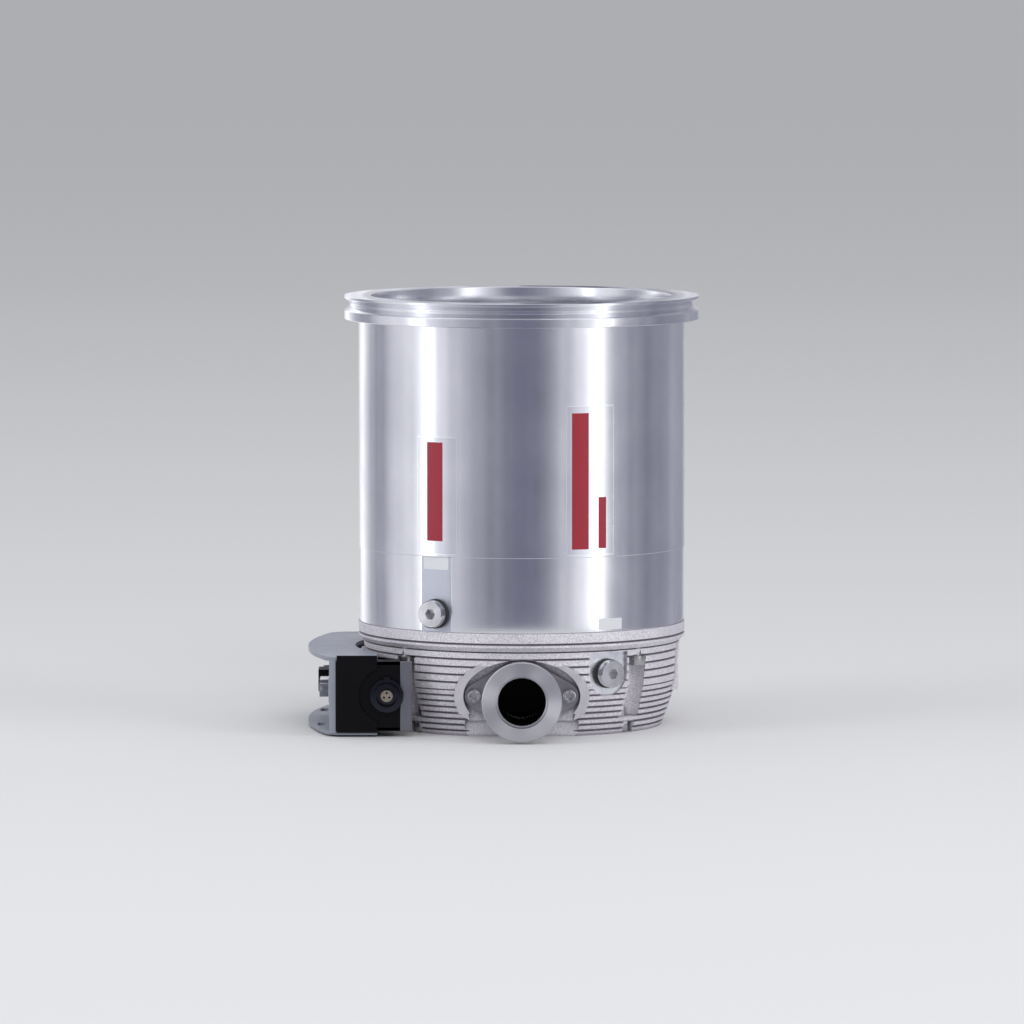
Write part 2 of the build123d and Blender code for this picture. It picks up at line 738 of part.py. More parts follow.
# ================================================================ standing parts of the blade stack
# Bearing star: outer ring, three arms and the tube that carries the standing magnets.
carrier_bottom = magnet_top - magnet_count * magnet_pitch - 1.0
cup_radius = star_cap_radius + 2.0
with BuildPart() as bearing_star:
    add(tube(spacer_inner, spacer_outer, star_bottom, star_top))
    with BuildSketch(Plane.XY.offset(star_bottom)):
        Circle(cup_radius)
        with PolarLocations(spacer_inner / 2 + 2, star_arm_count, start_angle=90):
            Rectangle(spacer_inner - 2, star_arm_width)
    extrude(amount=star_height)
    add(tube(touchdown_radius, carrier_radius, carrier_bottom, star_bottom))
    with BuildSketch(Plane.XY.offset(star_bottom)):
        Circle(touchdown_radius)
    extrude(amount=star_height, mode=Mode.SUBTRACT)
    with BuildSketch(Plane.XY.offset(star_top - star_cap_height)):
        Circle(star_cap_radius + fit)
    extrude(amount=star_cap_height, mode=Mode.SUBTRACT)
bearing_star.part.label = "bearing_star"
export_step(bearing_star.part, "parts/bearing_star.step")

# Cap that closes the bearing star.
with BuildPart() as star_cap:
    with BuildSketch(Plane.XY.offset(star_top - star_cap_height)):
        Circle(star_cap_radius)
    extrude(amount=star_cap_height - 0.2)
    with BuildSketch(Plane.XY.offset(star_top - 0.2)):
        with PolarLocations(6.5, 2):
            Circle(1.2)
    extrude(amount=-1.0, mode=Mode.SUBTRACT)
star_cap.part.label = "star_cap"
export_step(star_cap.part, "parts/star_cap.step")

# Snap ring that locks the stack in the housing.
with BuildPart() as snap_ring:
    add(tube(inlet_radius + snap_ring_reach - fit - snap_ring_width, inlet_radius + snap_ring_reach - fit,
             star_top, star_top + snap_ring_height))
    with Locations((0, -inlet_radius, star_top + snap_ring_height / 2)):
        Box(14, 12, 2 * snap_ring_height, mode=Mode.SUBTRACT)
snap_ring.part.label = "snap_ring"
export_step(snap_ring.part, "parts/snap_ring.step")

# Standing magnet rings on the star's tube.
with BuildPart() as stator_magnets:
    for step in range(magnet_count):
        z = magnet_top - step * magnet_pitch
        add(tube(carrier_radius + fit, stator_magnet_radius, z - magnet_height, z))
stator_magnets.part.label = "stator_magnets"
export_step(stator_magnets.part, "parts/stator_magnets.step")

# Touchdown bearing inside the star's tube; it only carries the rotor when the pump is knocked.
with BuildPart() as touchdown_bearing:
    add(tube(stub_radius + stub_play, touchdown_radius - fit, star_bottom - touchdown_width - 4, star_bottom - 4))
touchdown_bearing.part.label = "touchdown_bearing"
export_step(touchdown_bearing.part, "parts/touchdown_bearing.step")

# Stator discs: each is two half rings whose rim is clamped between spacer rings.
stator_discs = []
for number, (mid, stator_h, hub_r, angle, blades) in enumerate(
    zip(stator_mids, stator_heights, hub_radii[1:], rotor_angles, rotor_blades), start=1
):
    low, high = mid - stator_h / 2, mid + stator_h / 2
    inner = hub_r + blade_gap
    rim_low, rim_high = mid - stator_rim_height / 2, mid + stator_rim_height / 2
    with BuildPart() as stator_disc:
        add(tube(spacer_inner - stator_rim_reach, spacer_outer, rim_low, rim_high))
        add(tube(inner, inner + stator_inner_ring, rim_low, rim_high))
        add(blade_row(low, high, inner + stator_inner_ring / 2, spacer_inner - stator_rim_reach / 2,
                      blades, -angle, stator_blade_thickness, turn=180 / blades))
        with Locations((0, 0, mid)):
            Box(2 * inlet_radius, stator_split, 2 * stator_h, mode=Mode.SUBTRACT)
    stator_disc.part.label = f"stator_disc_{number}"
    stator_discs.append(stator_disc)
for number, stator_disc in enumerate(stator_discs, start=1):
    export_step(stator_disc.part, f"parts/stator_disc_{number}.step")

# Spacer rings between the bearing star, the stator discs and the drag stage, with a lightly eased bore.
rim_edges = [star_bottom]
for mid in stator_mids:
    rim_edges += [mid + stator_rim_height / 2, mid - stator_rim_height / 2]
rim_edges.append(stack_floor)
with BuildPart() as spacer_rings:
    for top, bottom in zip(rim_edges[0::2], rim_edges[1::2]):
        add(tube(spacer_inner, spacer_outer, bottom, top))
spacer_rings.part.label = "spacer_rings"
export_step(spacer_rings.part, "parts/spacer_rings.step")

# ================================================================ drag stage
# Outer drag stator: sleeve with spiral lands inside, hung on a lip at the housing's shoulder.
outer_drag_low = base_height + spigot_height + 9.0
with BuildPart() as outer_drag_stator:
    add(tube(outer_sleeve, drag_outer, outer_drag_low, stack_floor))
    add(tube(drag_outer - 1, spacer_outer, drag_seat, stack_floor))
    add(spiral_lands(outer_land_tip, outer_sleeve + 1, outer_drag_low, stack_floor, land_twist))
    add(tube(outer_land_tip - 4, outer_land_tip, outer_drag_low - 1, stack_floor + 1), mode=Mode.SUBTRACT)
outer_drag_stator.part.label = "outer_drag_stator"
export_step(outer_drag_stator.part, "parts/outer_drag_stator.step")

# Inner drag stator: cup with spiral lands outside, clamped on the hub column under the motor.
inner_drag_top = rotor_bottom - 2.0
plate_top = hub_column_top + inner_drag_plate
with BuildPart() as inner_drag_stator:
    add(tube(inner_sleeve - inner_drag_wall, inner_sleeve, hub_column_top, inner_drag_top))
    add(tube(shaft_motor_radius + 1.5, inner_sleeve - 1, hub_column_top, plate_top))
    add(spiral_lands(inner_land_tip, inner_sleeve - 1, drum_bottom, inner_drag_top, -land_twist))
    add(tube(inner_land_tip, inner_land_tip + 4, drum_bottom - 1, inner_drag_top + 1), mode=Mode.SUBTRACT)
    with BuildSketch(Plane.XY.offset(hub_column_top)):
        with PolarLocations((hub_column_radius + inner_sleeve - inner_drag_wall) / 2 + 2, 6):
            Circle(6)
    extrude(amount=inner_drag_plate, mode=Mode.SUBTRACT)
inner_drag_stator.part.label = "inner_drag_stator"
export_step(inner_drag_stator.part, "parts/inner_drag_stator.step")

# ================================================================ motor
motor_foot_top = plate_top + 4.0
motor_top = motor_core_z + motor_core_height + winding_height + 2.0
with BuildPart() as motor_housing:
    add(tube(motor_radius - motor_wall, motor_radius, plate_top, motor_top))
    add(tube(shaft_motor_radius + 1.5, motor_radius - 1, plate_top, motor_foot_top))
motor_housing.part.label = "motor_housing"
export_step(motor_housing.part, "parts/motor_housing.step")

# Motor core: stack of laminations with six slots that open towards the magnet.
core_radius = motor_radius - motor_wall - fit
with BuildPart() as motor_core:
    with BuildSketch(Plane.XY.offset(motor_core_z)):
        Circle(core_radius)
        Circle(motor_core_inner, mode=Mode.SUBTRACT)
        with PolarLocations((motor_core_inner + core_radius) / 2, 6):
            Rectangle(6, 5, mode=Mode.SUBTRACT)
        with PolarLocations(motor_core_inner + 1.5, 6):
            Rectangle(5, 1.6, mode=Mode.SUBTRACT)
    extrude(amount=motor_core_height)
motor_core.part.label = "motor_core"
export_step(motor_core.part, "parts/motor_core.step")

# Windings: coil heads above and below the core, joined through its slots.
with BuildPart() as motor_windings:
    coil_in, coil_out = motor_core_inner + winding_inset, core_radius - winding_inset
    add(tube(coil_in, coil_out, motor_core_z - winding_height, motor_core_z))
    add(tube(coil_in, coil_out, motor_core_z + motor_core_height, motor_core_z + motor_core_height + winding_height))
    with BuildSketch(Plane.XY.offset(motor_core_z)):
        with PolarLocations((motor_core_inner + core_radius) / 2, 6):
            Rectangle(6 - 2 * fit, 5 - 2 * fit)
    extrude(amount=motor_core_height)
motor_windings.part.label = "motor_windings"
export_step(motor_windings.part, "parts/motor_windings.step")

# ================================================================ main bearing
bearing_top = bearing_z + bearing_width
bearing_mid = bearing_z + bearing_width / 2


def race(r_in, r_out, r_track):
    """A bearing ring with its ball track turned as a shallow vee."""
    depth = ball_radius + ball_play - abs(r_track - ball_circle)
    step = depth if r_track > ball_circle else -depth
    r_far = r_out if r_track > ball_circle else r_in
    with BuildPart() as ring:
        with BuildSketch(Plane.XZ):
            with BuildLine():
                Polyline(
                    (r_far, bearing_z),
                    (r_track, bearing_z),
                    (r_track, bearing_mid - ball_radius),
                    (r_track + step, bearing_mid - 0.6),
                    (r_track + step, bearing_mid + 0.6),
                    (r_track, bearing_mid + ball_radius),
                    (r_track, bearing_top),
                    (r_far, bearing_top),
                    close=True,
                )
            make_face()
        revolve(axis=Axis.Z)
    return ring.part


with BuildPart() as bearing_outer_ring:
    add(race(bearing_radius - race_wall, bearing_radius, bearing_radius - race_wall))
bearing_outer_ring.part.label = "bearing_outer_ring"
export_step(bearing_outer_ring.part, "parts/bearing_outer_ring.step")

with BuildPart() as bearing_inner_ring:
    add(race(shaft_radius, shaft_radius + race_wall, shaft_radius + race_wall))
bearing_inner_ring.part.label = "bearing_inner_ring"
export_step(bearing_inner_ring.part, "parts/bearing_inner_ring.step")

# Ball cage, with a radial pocket for each ball.
with BuildPart() as bearing_cage:
    add(tube(ball_circle - cage_wall / 2, ball_circle + cage_wall / 2,
             bearing_mid - cage_height / 2, bearing_mid + cage_height / 2))
    with Locations((0, 0, bearing_mid)):
        with PolarLocations(ball_circle, ball_count):
            Box(4 * cage_wall, 2 * (ball_radius + ball_play), 2 * (ball_radius + ball_play), mode=Mode.SUBTRACT)
bearing_cage.part.label = "bearing_cage"
export_step(bearing_cage.part, "parts/bearing_cage.step")

# Ceramic balls.
with BuildPart() as bearing_balls:
    with BuildPart(mode=Mode.PRIVATE) as ball:
        with BuildSketch(Plane.XZ):
            with BuildLine():
                Polyline(
                    [(ball_radius * sin(step * pi / 6), -ball_radius * cos(step * pi / 6)) for step in range(7)],
                    close=True,
                )
            make_face()
        revolve(axis=Axis.Z)
    with Locations((0, 0, bearing_mid)):
        with PolarLocations(ball_circle, ball_count):
            add(ball.part)
bearing_balls.part.label = "bearing_balls"
export_step(bearing_balls.part, "parts/bearing_balls.step")

# Elastic ring round the bearing, spring washer below it and the bush that holds it down.
with BuildPart() as bearing_damper:
    add(tube(bearing_radius, bearing_radius + damper_gap, bearing_z + 1.5, bearing_top - 1.5))
bearing_damper.part.label = "bearing_damper"
export_step(bearing_damper.part, "parts/bearing_damper.step")

with BuildPart() as spring_washer:
    add(tube(bearing_radius - race_wall + 0.2, bearing_radius + 1.2, hub_bearing_z, bearing_z))
spring_washer.part.label = "spring_washer"
export_step(spring_washer.part, "parts/spring_washer.step")

with BuildPart() as bearing_bush:
    add(tube(bearing_radius - race_wall + 0.6, bearing_radius + damper_gap - fit, bearing_top + 0.1, hub_column_top))
bearing_bush.part.label = "bearing_bush"
export_step(bearing_bush.part, "parts/bearing_bush.step")

# ================================================================ rotor
recess_floor = rotor_top - magnet_recess_depth
hub_boss_z = rotor_bottom - 8.0
bell_radius = drum_inner - fit
with BuildPart() as rotor:
    with BuildSketch(Plane.XZ):
        with BuildLine():
            hub_line = []
            for top, high, r_high, r_low in zip(row_tops, rotor_heights, hub_radii, hub_radii[1:] + hub_radii[-1:]):
                hub_line += [(r_high, top), (r_low, top - high)]
            Polyline(
                (magnet_recess_radius, rotor_top),
                *hub_line,
                (bell_radius, row_floor),
                (bell_radius, rotor_bottom),
                (22, rotor_bottom),
                (14, hub_boss_z),
                (shaft_hub_radius, hub_boss_z),
                (shaft_hub_radius, recess_floor - 4),
                (stub_radius, recess_floor - 4),
                (stub_radius, recess_floor),
                (magnet_recess_radius, recess_floor),
                close=True,
            )
        make_face()
    revolve(axis=Axis.Z)
    for number, (top, high, r_hub, count, angle) in enumerate(
        zip(row_tops, rotor_heights, hub_radii, rotor_blades, rotor_angles)
    ):
        add(blade_row(top - high, top, r_hub - 1.5, tip_radius, count, angle, rotor_blade_thickness, turn=5 * number))
rotor.part.label = "rotor"
export_step(rotor.part, "parts/rotor.step")

# Drag drum: thin fibre sleeve shrunk on the rotor's lower plate.
with BuildPart() as drag_drum:
    add(tube(drum_inner, drum_radius, drum_bottom, drum_top))
drag_drum.part.label = "drag_drum"
export_step(drag_drum.part, "parts/drag_drum.step")

# Shaft: bearing seat and nut thread below, motor section, hub seat and a thin stub at the top.
shaft_low = bearing_z - nut_height - 4.0
with BuildPart() as shaft:
    with BuildSketch(Plane.XZ):
        with BuildLine():
            Polyline(
                (0, shaft_low),
                (shaft_radius - 1, shaft_low),
                (shaft_radius, shaft_low + 2),
                (shaft_radius, bearing_top),
                (shaft_motor_radius, bearing_top),
                (shaft_motor_radius, hub_boss_z - 4),
                (shaft_hub_radius + 2, hub_boss_z - 4),
                (shaft_hub_radius + 2, hub_boss_z),
                (shaft_hub_radius, hub_boss_z),
                (shaft_hub_radius, recess_floor - 4),
                (stub_radius, recess_floor - 4),
                (stub_radius, star_bottom - 2.5),
                (0, star_bottom - 2.5),
                close=True,
            )
        make_face()
    revolve(axis=Axis.Z)
shaft.part.label = "shaft"
export_step(shaft.part, "parts/shaft.step")

# Motor magnet on the shaft, in its retaining sleeve.
with BuildPart() as motor_magnet:
    add(tube(shaft_motor_radius, motor_magnet_radius, motor_core_z, motor_core_z + motor_core_height))
motor_magnet.part.label = "motor_magnet"
export_step(motor_magnet.part, "parts/motor_magnet.step")

# Turning magnet rings in the rotor's recess, facing the standing ones.
with BuildPart() as rotor_magnets:
    for step in range(magnet_count):
        z = magnet_top - step * magnet_pitch
        add(tube(rotor_magnet_inner, magnet_recess_radius - fit, z - magnet_height, z))
rotor_magnets.part.label = "rotor_magnets"
export_step(rotor_magnets.part, "parts/rotor_magnets.step")

# Nut that clamps the inner ring on the shaft; its conical outside throws oil into the bearing.
with BuildPart() as shaft_nut:
    with BuildSketch(Plane.XZ):
        with BuildLine():
            Polyline(
                (shaft_radius, bearing_z - nut_height),
                (nut_radius - 1.2, bearing_z - nut_height),
                (nut_radius, bearing_z),
                (shaft_radius, bearing_z),
                close=True,
            )
        make_face()
    revolve(axis=Axis.Z)
shaft_nut.part.label = "shaft_nut"
export_step(shaft_nut.part, "parts/shaft_nut.step")


# ================================================================ vent and purge plugs
def plug_parts(azimuth, seat_radius, z):
    """Seal washer and hex-socket plug on a flat seat; the plug stands outwards from the washer."""
    with BuildPart() as washer:
        with BuildSketch(radial_plane(azimuth, seat_radius, z)):
            Circle(washer_radius)
            Circle(plug_thread_radius + 0.3, mode=Mode.SUBTRACT)
        extrude(amount=washer_height)
    with BuildPart() as plug:
        with BuildSketch(radial_plane(azimuth, seat_radius + washer_height, z)):
            Circle(plug_radius)
        extrude(amount=plug_collar)
        chamfer(plug.edges().filter_by(GeomType.CIRCLE), 0.5)
        with BuildSketch(radial_plane(azimuth, seat_radius + washer_height + 0.2, z)):
            Circle(plug_thread_radius)
        extrude(amount=-(plug_thread_length + washer_height))
        with BuildSketch(radial_plane(azimuth, seat_radius + washer_height + plug_collar, z)):
            RegularPolygon(plug_socket / 2, 6, major_radius=False)
        extrude(amount=-(plug_collar + 1.0), mode=Mode.SUBTRACT)
    return washer.part, plug.part


washer, plug = plug_parts(vent_azimuth, vent_flat_radius, vent_z)
with BuildPart() as vent_seal:
    add(washer)
vent_seal.part.label = "vent_seal"
export_step(vent_seal.part, "parts/vent_seal.step")

with BuildPart() as vent_screw:
    add(plug)
vent_screw.part.label = "vent_screw"
export_step(vent_screw.part, "parts/vent_screw.step")

washer, plug = plug_parts(purge_azimuth, purge_flat_radius, purge_z)
with BuildPart() as purge_seal:
    add(washer)
purge_seal.part.label = "purge_seal"
export_step(purge_seal.part, "parts/purge_seal.step")

with BuildPart() as purge_screw:
    add(plug)
purge_screw.part.label = "purge_screw"
export_step(purge_screw.part, "parts/purge_screw.step")


# ================================================================ drive unit
# Bracket: top and bottom plate, connector panel and end strips, folded and welded from sheet.
bracket_height = drive_high - drive_low
with BuildPart() as drive_bracket:
    for z in (drive_low, drive_plate_high):
        with BuildSketch(Plane.XY.offset(z)):
            add(plate_outline())
        extrude(amount=sheet)
    with Locations((-panel_x, 0, drive_low + sheet / 2)):
        Box(panel_thickness, 2 * drive_half_depth, bracket_height - sheet,
            align=(Align.MIN, Align.CENTER, Align.MIN))
    for side in (-1, 1):
        with Locations((-case_end_x, side * (drive_half_depth - sheet / 2), drive_low + sheet / 2)):
            Box(case_end_x - front_wall_end_x, sheet, bracket_height - sheet,
                align=(Align.MIN, Align.CENTER, Align.MIN))
    # openings for the three connectors in the panel
    panel_mid = Plane(origin=(-panel_x, 0, socket_z), x_dir=(0, -1, 0), z_dir=(-1, 0, 0))
    with BuildSketch(panel_mid):
        with Locations((-dsub_y, 0)):
            Rectangle(dsub_shell_width + 2 * fit, dsub_shell_height + 2 * fit)
        with Locations((-power_y, 0)):
            Rectangle(power_width + 2 * fit, power_height + 2 * fit)
        with Locations((-service_y, 0)):
            Circle(service_radius + fit)
    extrude(amount=-panel_thickness, mode=Mode.SUBTRACT)
    # slots in the overhanging part of the bottom plate
    with BuildSketch(Plane.XY.offset(drive_low)):
        for y in (-40, 40):
            with Locations(Location((-panel_x - 4.6, y * 0.9, 0), 90)):
                SlotOverall(slot_length, slot_width)
    extrude(amount=sheet, mode=Mode.SUBTRACT)
drive_bracket.part.label = "drive_bracket"
export_step(drive_bracket.part, "parts/drive_bracket.step")

# Drive case: black channel with front and rear wall and a curved wall that follows the pump's base.
case_low, case_high = drive_plate_low + fit, drive_plate_high - fit
case_left = panel_x - panel_thickness - fit
case_right = case_end_x + fit
with BuildPart() as drive_case:
    with BuildSketch(Plane.XY.offset(case_low)):
        with Locations((-case_left, 0)):
            Rectangle(case_left - case_right, 2 * drive_half_depth, align=(Align.MIN, Align.CENTER))
        Circle(drive_inner_radius, mode=Mode.SUBTRACT)
        with BuildSketch(mode=Mode.PRIVATE) as inside:
            with Locations((-case_left - 1, 0)):
                Rectangle(case_left - case_right + 1 - sheet, 2 * (drive_half_depth - sheet),
                          align=(Align.MIN, Align.CENTER))
            Circle(drive_inner_radius + sheet, mode=Mode.SUBTRACT)
        add(inside.sketch, mode=Mode.SUBTRACT)
    extrude(amount=case_high - case_low)
    # opening for the round socket, screw holes of the bosses and the cable passage
    with BuildSketch(Plane.XZ.offset(drive_half_depth - sheet)):
        with Locations((-socket_x, socket_z)):
            Circle(socket_tail_radius + fit)
    extrude(amount=sheet, mode=Mode.SUBTRACT)
    for azimuth in (-90 - boss_azimuth, boss_azimuth - 90):
        for z in boss_heights:
            with BuildSketch(radial_plane(azimuth, drive_inner_radius - 2, z)):
                Circle(2 + fit)
            extrude(amount=2 * sheet, mode=Mode.SUBTRACT)
    with BuildSketch(radial_plane(-90, drive_inner_radius - 2, feed_z)):
        Circle(feed_radius + 1)
    extrude(amount=2 * sheet, mode=Mode.SUBTRACT)
drive_case.part.label = "drive_case"
export_step(drive_case.part, "parts/drive_case.step")

# Front cover: black plate over the front, cut away in an arc round the socket.
cover_low, cover_high = drive_low + 0.3, drive_high - 0.3
with BuildPart() as front_cover:
    with BuildSketch(Plane.XZ.offset(drive_half_depth)):
        with BuildLine():
            Polyline(
                (0.6 - panel_x + panel_thickness, cover_low),
                (-front_cover_end_x, cover_low),
                (-front_cover_end_x, cover_high),
                (0.6 - panel_x + panel_thickness, cover_high),
                close=True,
            )
        make_face()
        with Locations((-socket_x, socket_z)):
            Circle(socket_bite_radius, mode=Mode.SUBTRACT)
    extrude(amount=front_cover_thickness)
front_cover.part.label = "front_cover"
export_step(front_cover.part, "parts/front_cover.step")

# Round push-pull socket: nut, shell with a key and an insulator with three contact holes.
with BuildPart() as drive_socket:
    socket_axis = Plane(origin=(-socket_x, -drive_half_depth, socket_z), x_dir=(1, 0, 0), z_dir=(0, -1, 0))
    with BuildSketch(socket_axis):
        Circle(socket_nut_radius)
        Circle(socket_shell_radius - socket_shell_wall, mode=Mode.SUBTRACT)
    extrude(amount=socket_nut_height)
    with BuildSketch(socket_axis):
        Circle(socket_shell_radius)
        Circle(socket_shell_radius - socket_shell_wall, mode=Mode.SUBTRACT)
    extrude(amount=socket_shell_reach)
    with BuildSketch(socket_axis.offset(0.8)):
        Circle(socket_shell_radius - 0.2)
        Circle(socket_insert_radius + fit, mode=Mode.SUBTRACT)
    extrude(amount=-0.8)
    with BuildSketch(socket_axis):
        Circle(socket_tail_radius)
        Circle(socket_insert_radius + fit, mode=Mode.SUBTRACT)
    extrude(amount=-socket_tail_length)
    with BuildSketch(socket_axis):
        with Locations((0, socket_nut_radius + 0.2)):
            Rectangle(3.0, 1.6)
    extrude(amount=socket_nut_height - 0.6)
drive_socket.part.label = "drive_socket"
export_step(drive_socket.part, "parts/drive_socket.step")

with BuildPart() as socket_insert:
    with BuildSketch(socket_axis.offset(-socket_tail_length)):
        Circle(socket_insert_radius)
        with PolarLocations(socket_hole_circle, 3, start_angle=90):
            Circle(socket_hole_radius, mode=Mode.SUBTRACT)
    extrude(amount=socket_tail_length + socket_shell_reach - socket_insert_drop)
socket_insert.part.label = "socket_insert"
export_step(socket_insert.part, "parts/socket_insert.step")

# Circuit board behind the connector panel, with its capacitors.
board_x = panel_x - panel_thickness - board_gap
board_half_depth = drive_half_depth - sheet - board_margin
with BuildPart() as circuit_board:
    with Locations((-board_x, 0, (drive_low + drive_high) / 2)):
        Box(board_thickness, 2 * board_half_depth, bracket_height - 2 * sheet - 4,
            align=(Align.MIN, Align.CENTER, Align.CENTER))
    with BuildSketch(Plane(origin=(-board_x, 0, (drive_low + drive_high) / 2), x_dir=(0, -1, 0), z_dir=(-1, 0, 0))):
        with Locations((board_half_depth - 5, 9), (board_half_depth - 5, -9),
                       (5 - board_half_depth, 9), (5 - board_half_depth, -9)):
            Circle(1.5)
    extrude(amount=-board_thickness, mode=Mode.SUBTRACT)
circuit_board.part.label = "circuit_board"
export_step(circuit_board.part, "parts/circuit_board.step")

with BuildPart() as board_parts:
    inner_face = Plane(origin=(-board_x + board_thickness, 0, (drive_low + drive_high) / 2),
                       x_dir=(0, 1, 0), z_dir=(1, 0, 0))
    with BuildSketch(inner_face):
        with Locations((capacitor_y, 9), (capacitor_y, -9), (-capacitor_y, 9), (-capacitor_y, -9)):
            Circle(capacitor_radius)
    extrude(amount=capacitor_length)
    with BuildSketch(inner_face):
        with Locations((chip_y, 0), (-chip_y, 0)):
            Rectangle(14, 9)
    extrude(amount=2)
board_parts.part.label = "board_parts"
export_step(board_parts.part, "parts/board_parts.step")

# Connectors on the panel: signal, power and service.
outside = Plane(origin=(-panel_x, 0, socket_z), x_dir=(0, -1, 0), z_dir=(-1, 0, 0))
connector_depth = panel_thickness + board_gap
with BuildPart() as signal_connector:
    with BuildSketch(outside):
        with Locations((-dsub_y, 0)):
            Rectangle(dsub_width, dsub_height)
            with Locations((-jackscrew_spacing / 2, 0), (jackscrew_spacing / 2, 0)):
                Circle(1.6, mode=Mode.SUBTRACT)
    extrude(amount=dsub_flange)
    with BuildSketch(outside):
        with Locations((-dsub_y, 0)):
            RectangleRounded(dsub_shell_width, dsub_shell_height, 2)
    extrude(amount=dsub_reach)
    with BuildSketch(outside.offset(dsub_reach)):
        with Locations((-dsub_y, 0)):
            RectangleRounded(dsub_shell_width - 1.4, dsub_shell_height - 1.4, 1.4)
    extrude(amount=-3.5, mode=Mode.SUBTRACT)
    with BuildSketch(outside):
        with Locations((-dsub_y, 0)):
            Rectangle(dsub_shell_width - 1, dsub_shell_height - 1)
    extrude(amount=-connector_depth)
signal_connector.part.label = "signal_connector"
export_step(signal_connector.part, "parts/signal_connector.step")

with BuildPart() as jack_screws:
    with BuildSketch(outside):
        with Locations((-dsub_y - jackscrew_spacing / 2, 0), (-dsub_y + jackscrew_spacing / 2, 0)):
            Circle(1.5)
    extrude(amount=dsub_flange)
    with BuildSketch(outside.offset(dsub_flange)):
        with Locations((-dsub_y - jackscrew_spacing / 2, 0), (-dsub_y + jackscrew_spacing / 2, 0)):
            RegularPolygon(jackscrew_radius, 6)
    extrude(amount=jackscrew_height)
    with BuildSketch(outside.offset(dsub_flange + jackscrew_height)):
        with Locations((-dsub_y - jackscrew_spacing / 2, 0), (-dsub_y + jackscrew_spacing / 2, 0)):
            Circle(1.2)
    extrude(amount=-3.4, mode=Mode.SUBTRACT)
jack_screws.part.label = "jack_screws"
export_step(jack_screws.part, "parts/jack_screws.step")

with BuildPart() as power_connector:
    with BuildSketch(outside.offset(-connector_depth)):
        with Locations((-power_y, 0)):
            Rectangle(power_width, power_height)
    extrude(amount=connector_depth + power_reach)
    with BuildSketch(outside.offset(power_reach)):
        with Locations((-power_y, 0)):
            Rectangle(power_width - 2.4, power_height - 2.4)
    extrude(amount=-6.5, mode=Mode.SUBTRACT)
power_connector.part.label = "power_connector"
export_step(power_connector.part, "parts/power_connector.step")

with BuildPart() as service_connector:
    with BuildSketch(outside.offset(-connector_depth)):
        with Locations((-service_y, 0)):
            Circle(service_radius)
    extrude(amount=connector_depth + service_reach)
    with BuildSketch(outside.offset(service_reach)):
        with Locations((-service_y, 0)):
            Circle(service_radius - 1.2)
    extrude(amount=-5.0, mode=Mode.SUBTRACT)
service_connector.part.label = "service_connector"
export_step(service_connector.part, "parts/service_connector.step")

# Feedthrough that carries the motor leads from the drive unit through the wall of the base.
with BuildPart() as motor_feedthrough:
    flange_plane = radial_plane(-90, feed_seat_radius, feed_z)
    with BuildSketch(flange_plane):
        Circle(feed_flange_radius)
    extrude(amount=2)
    with BuildSketch(flange_plane):
        Circle(feed_radius)
    extrude(amount=-(feed_seat_radius - chamber_radius))
    with BuildSketch(flange_plane.offset(2)):
        with PolarLocations(feed_pin_circle, 6):
            Circle(feed_pin_radius)
    extrude(amount=feed_pin_reach)
motor_feedthrough.part.label = "motor_feedthrough"
export_step(motor_feedthrough.part, "parts/motor_feedthrough.step")

# Four M4 screws that hold the drive case on the bosses of the base.
with BuildPart() as drive_screws:
    for azimuth in (-90 - boss_azimuth, boss_azimuth - 90):
        for z in boss_heights:
            with Locations(radial_plane(azimuth, drive_inner_radius + sheet, z)):
                add(cap_screw(2.0, boss_screw_length, 3.0))
drive_screws.part.label = "drive_screws"
export_step(drive_screws.part, "parts/drive_screws.step")
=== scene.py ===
from math import atan2, cos, pi, radians, sin

import bmesh
import bpy
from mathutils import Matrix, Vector


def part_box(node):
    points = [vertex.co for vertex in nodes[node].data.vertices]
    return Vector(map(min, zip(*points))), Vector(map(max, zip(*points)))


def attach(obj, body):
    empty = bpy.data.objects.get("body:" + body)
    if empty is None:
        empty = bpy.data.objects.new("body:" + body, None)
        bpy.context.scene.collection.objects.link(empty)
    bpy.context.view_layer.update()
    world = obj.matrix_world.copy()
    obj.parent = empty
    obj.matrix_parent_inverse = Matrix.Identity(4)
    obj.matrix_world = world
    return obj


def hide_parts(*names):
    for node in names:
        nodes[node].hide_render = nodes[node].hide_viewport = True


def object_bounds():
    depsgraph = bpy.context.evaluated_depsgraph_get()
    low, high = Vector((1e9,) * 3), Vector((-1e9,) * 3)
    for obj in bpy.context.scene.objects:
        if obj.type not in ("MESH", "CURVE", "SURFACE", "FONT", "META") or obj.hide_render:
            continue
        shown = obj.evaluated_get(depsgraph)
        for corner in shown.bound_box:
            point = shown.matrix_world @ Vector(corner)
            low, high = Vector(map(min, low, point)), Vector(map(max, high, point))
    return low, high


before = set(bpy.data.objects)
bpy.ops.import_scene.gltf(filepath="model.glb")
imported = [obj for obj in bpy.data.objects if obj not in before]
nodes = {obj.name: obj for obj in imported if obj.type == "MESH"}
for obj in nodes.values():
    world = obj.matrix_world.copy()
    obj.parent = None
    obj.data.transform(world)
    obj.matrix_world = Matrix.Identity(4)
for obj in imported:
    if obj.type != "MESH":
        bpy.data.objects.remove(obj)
cad_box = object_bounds()

# ---------------------------------------------------------------------------------------------
# Studio: a pale floor that runs out of sight, large soft lights above, in front and at the sides,
# and a round tent of cloth, whose reflections draw the upright bands on the turned tube.
# ---------------------------------------------------------------------------------------------
floor_z = cad_box[0][2]
floor_reach = 40.0


def tone(colour):
    """A colour with its alpha, as shader sockets take it."""
    return (*colour, 1.0)


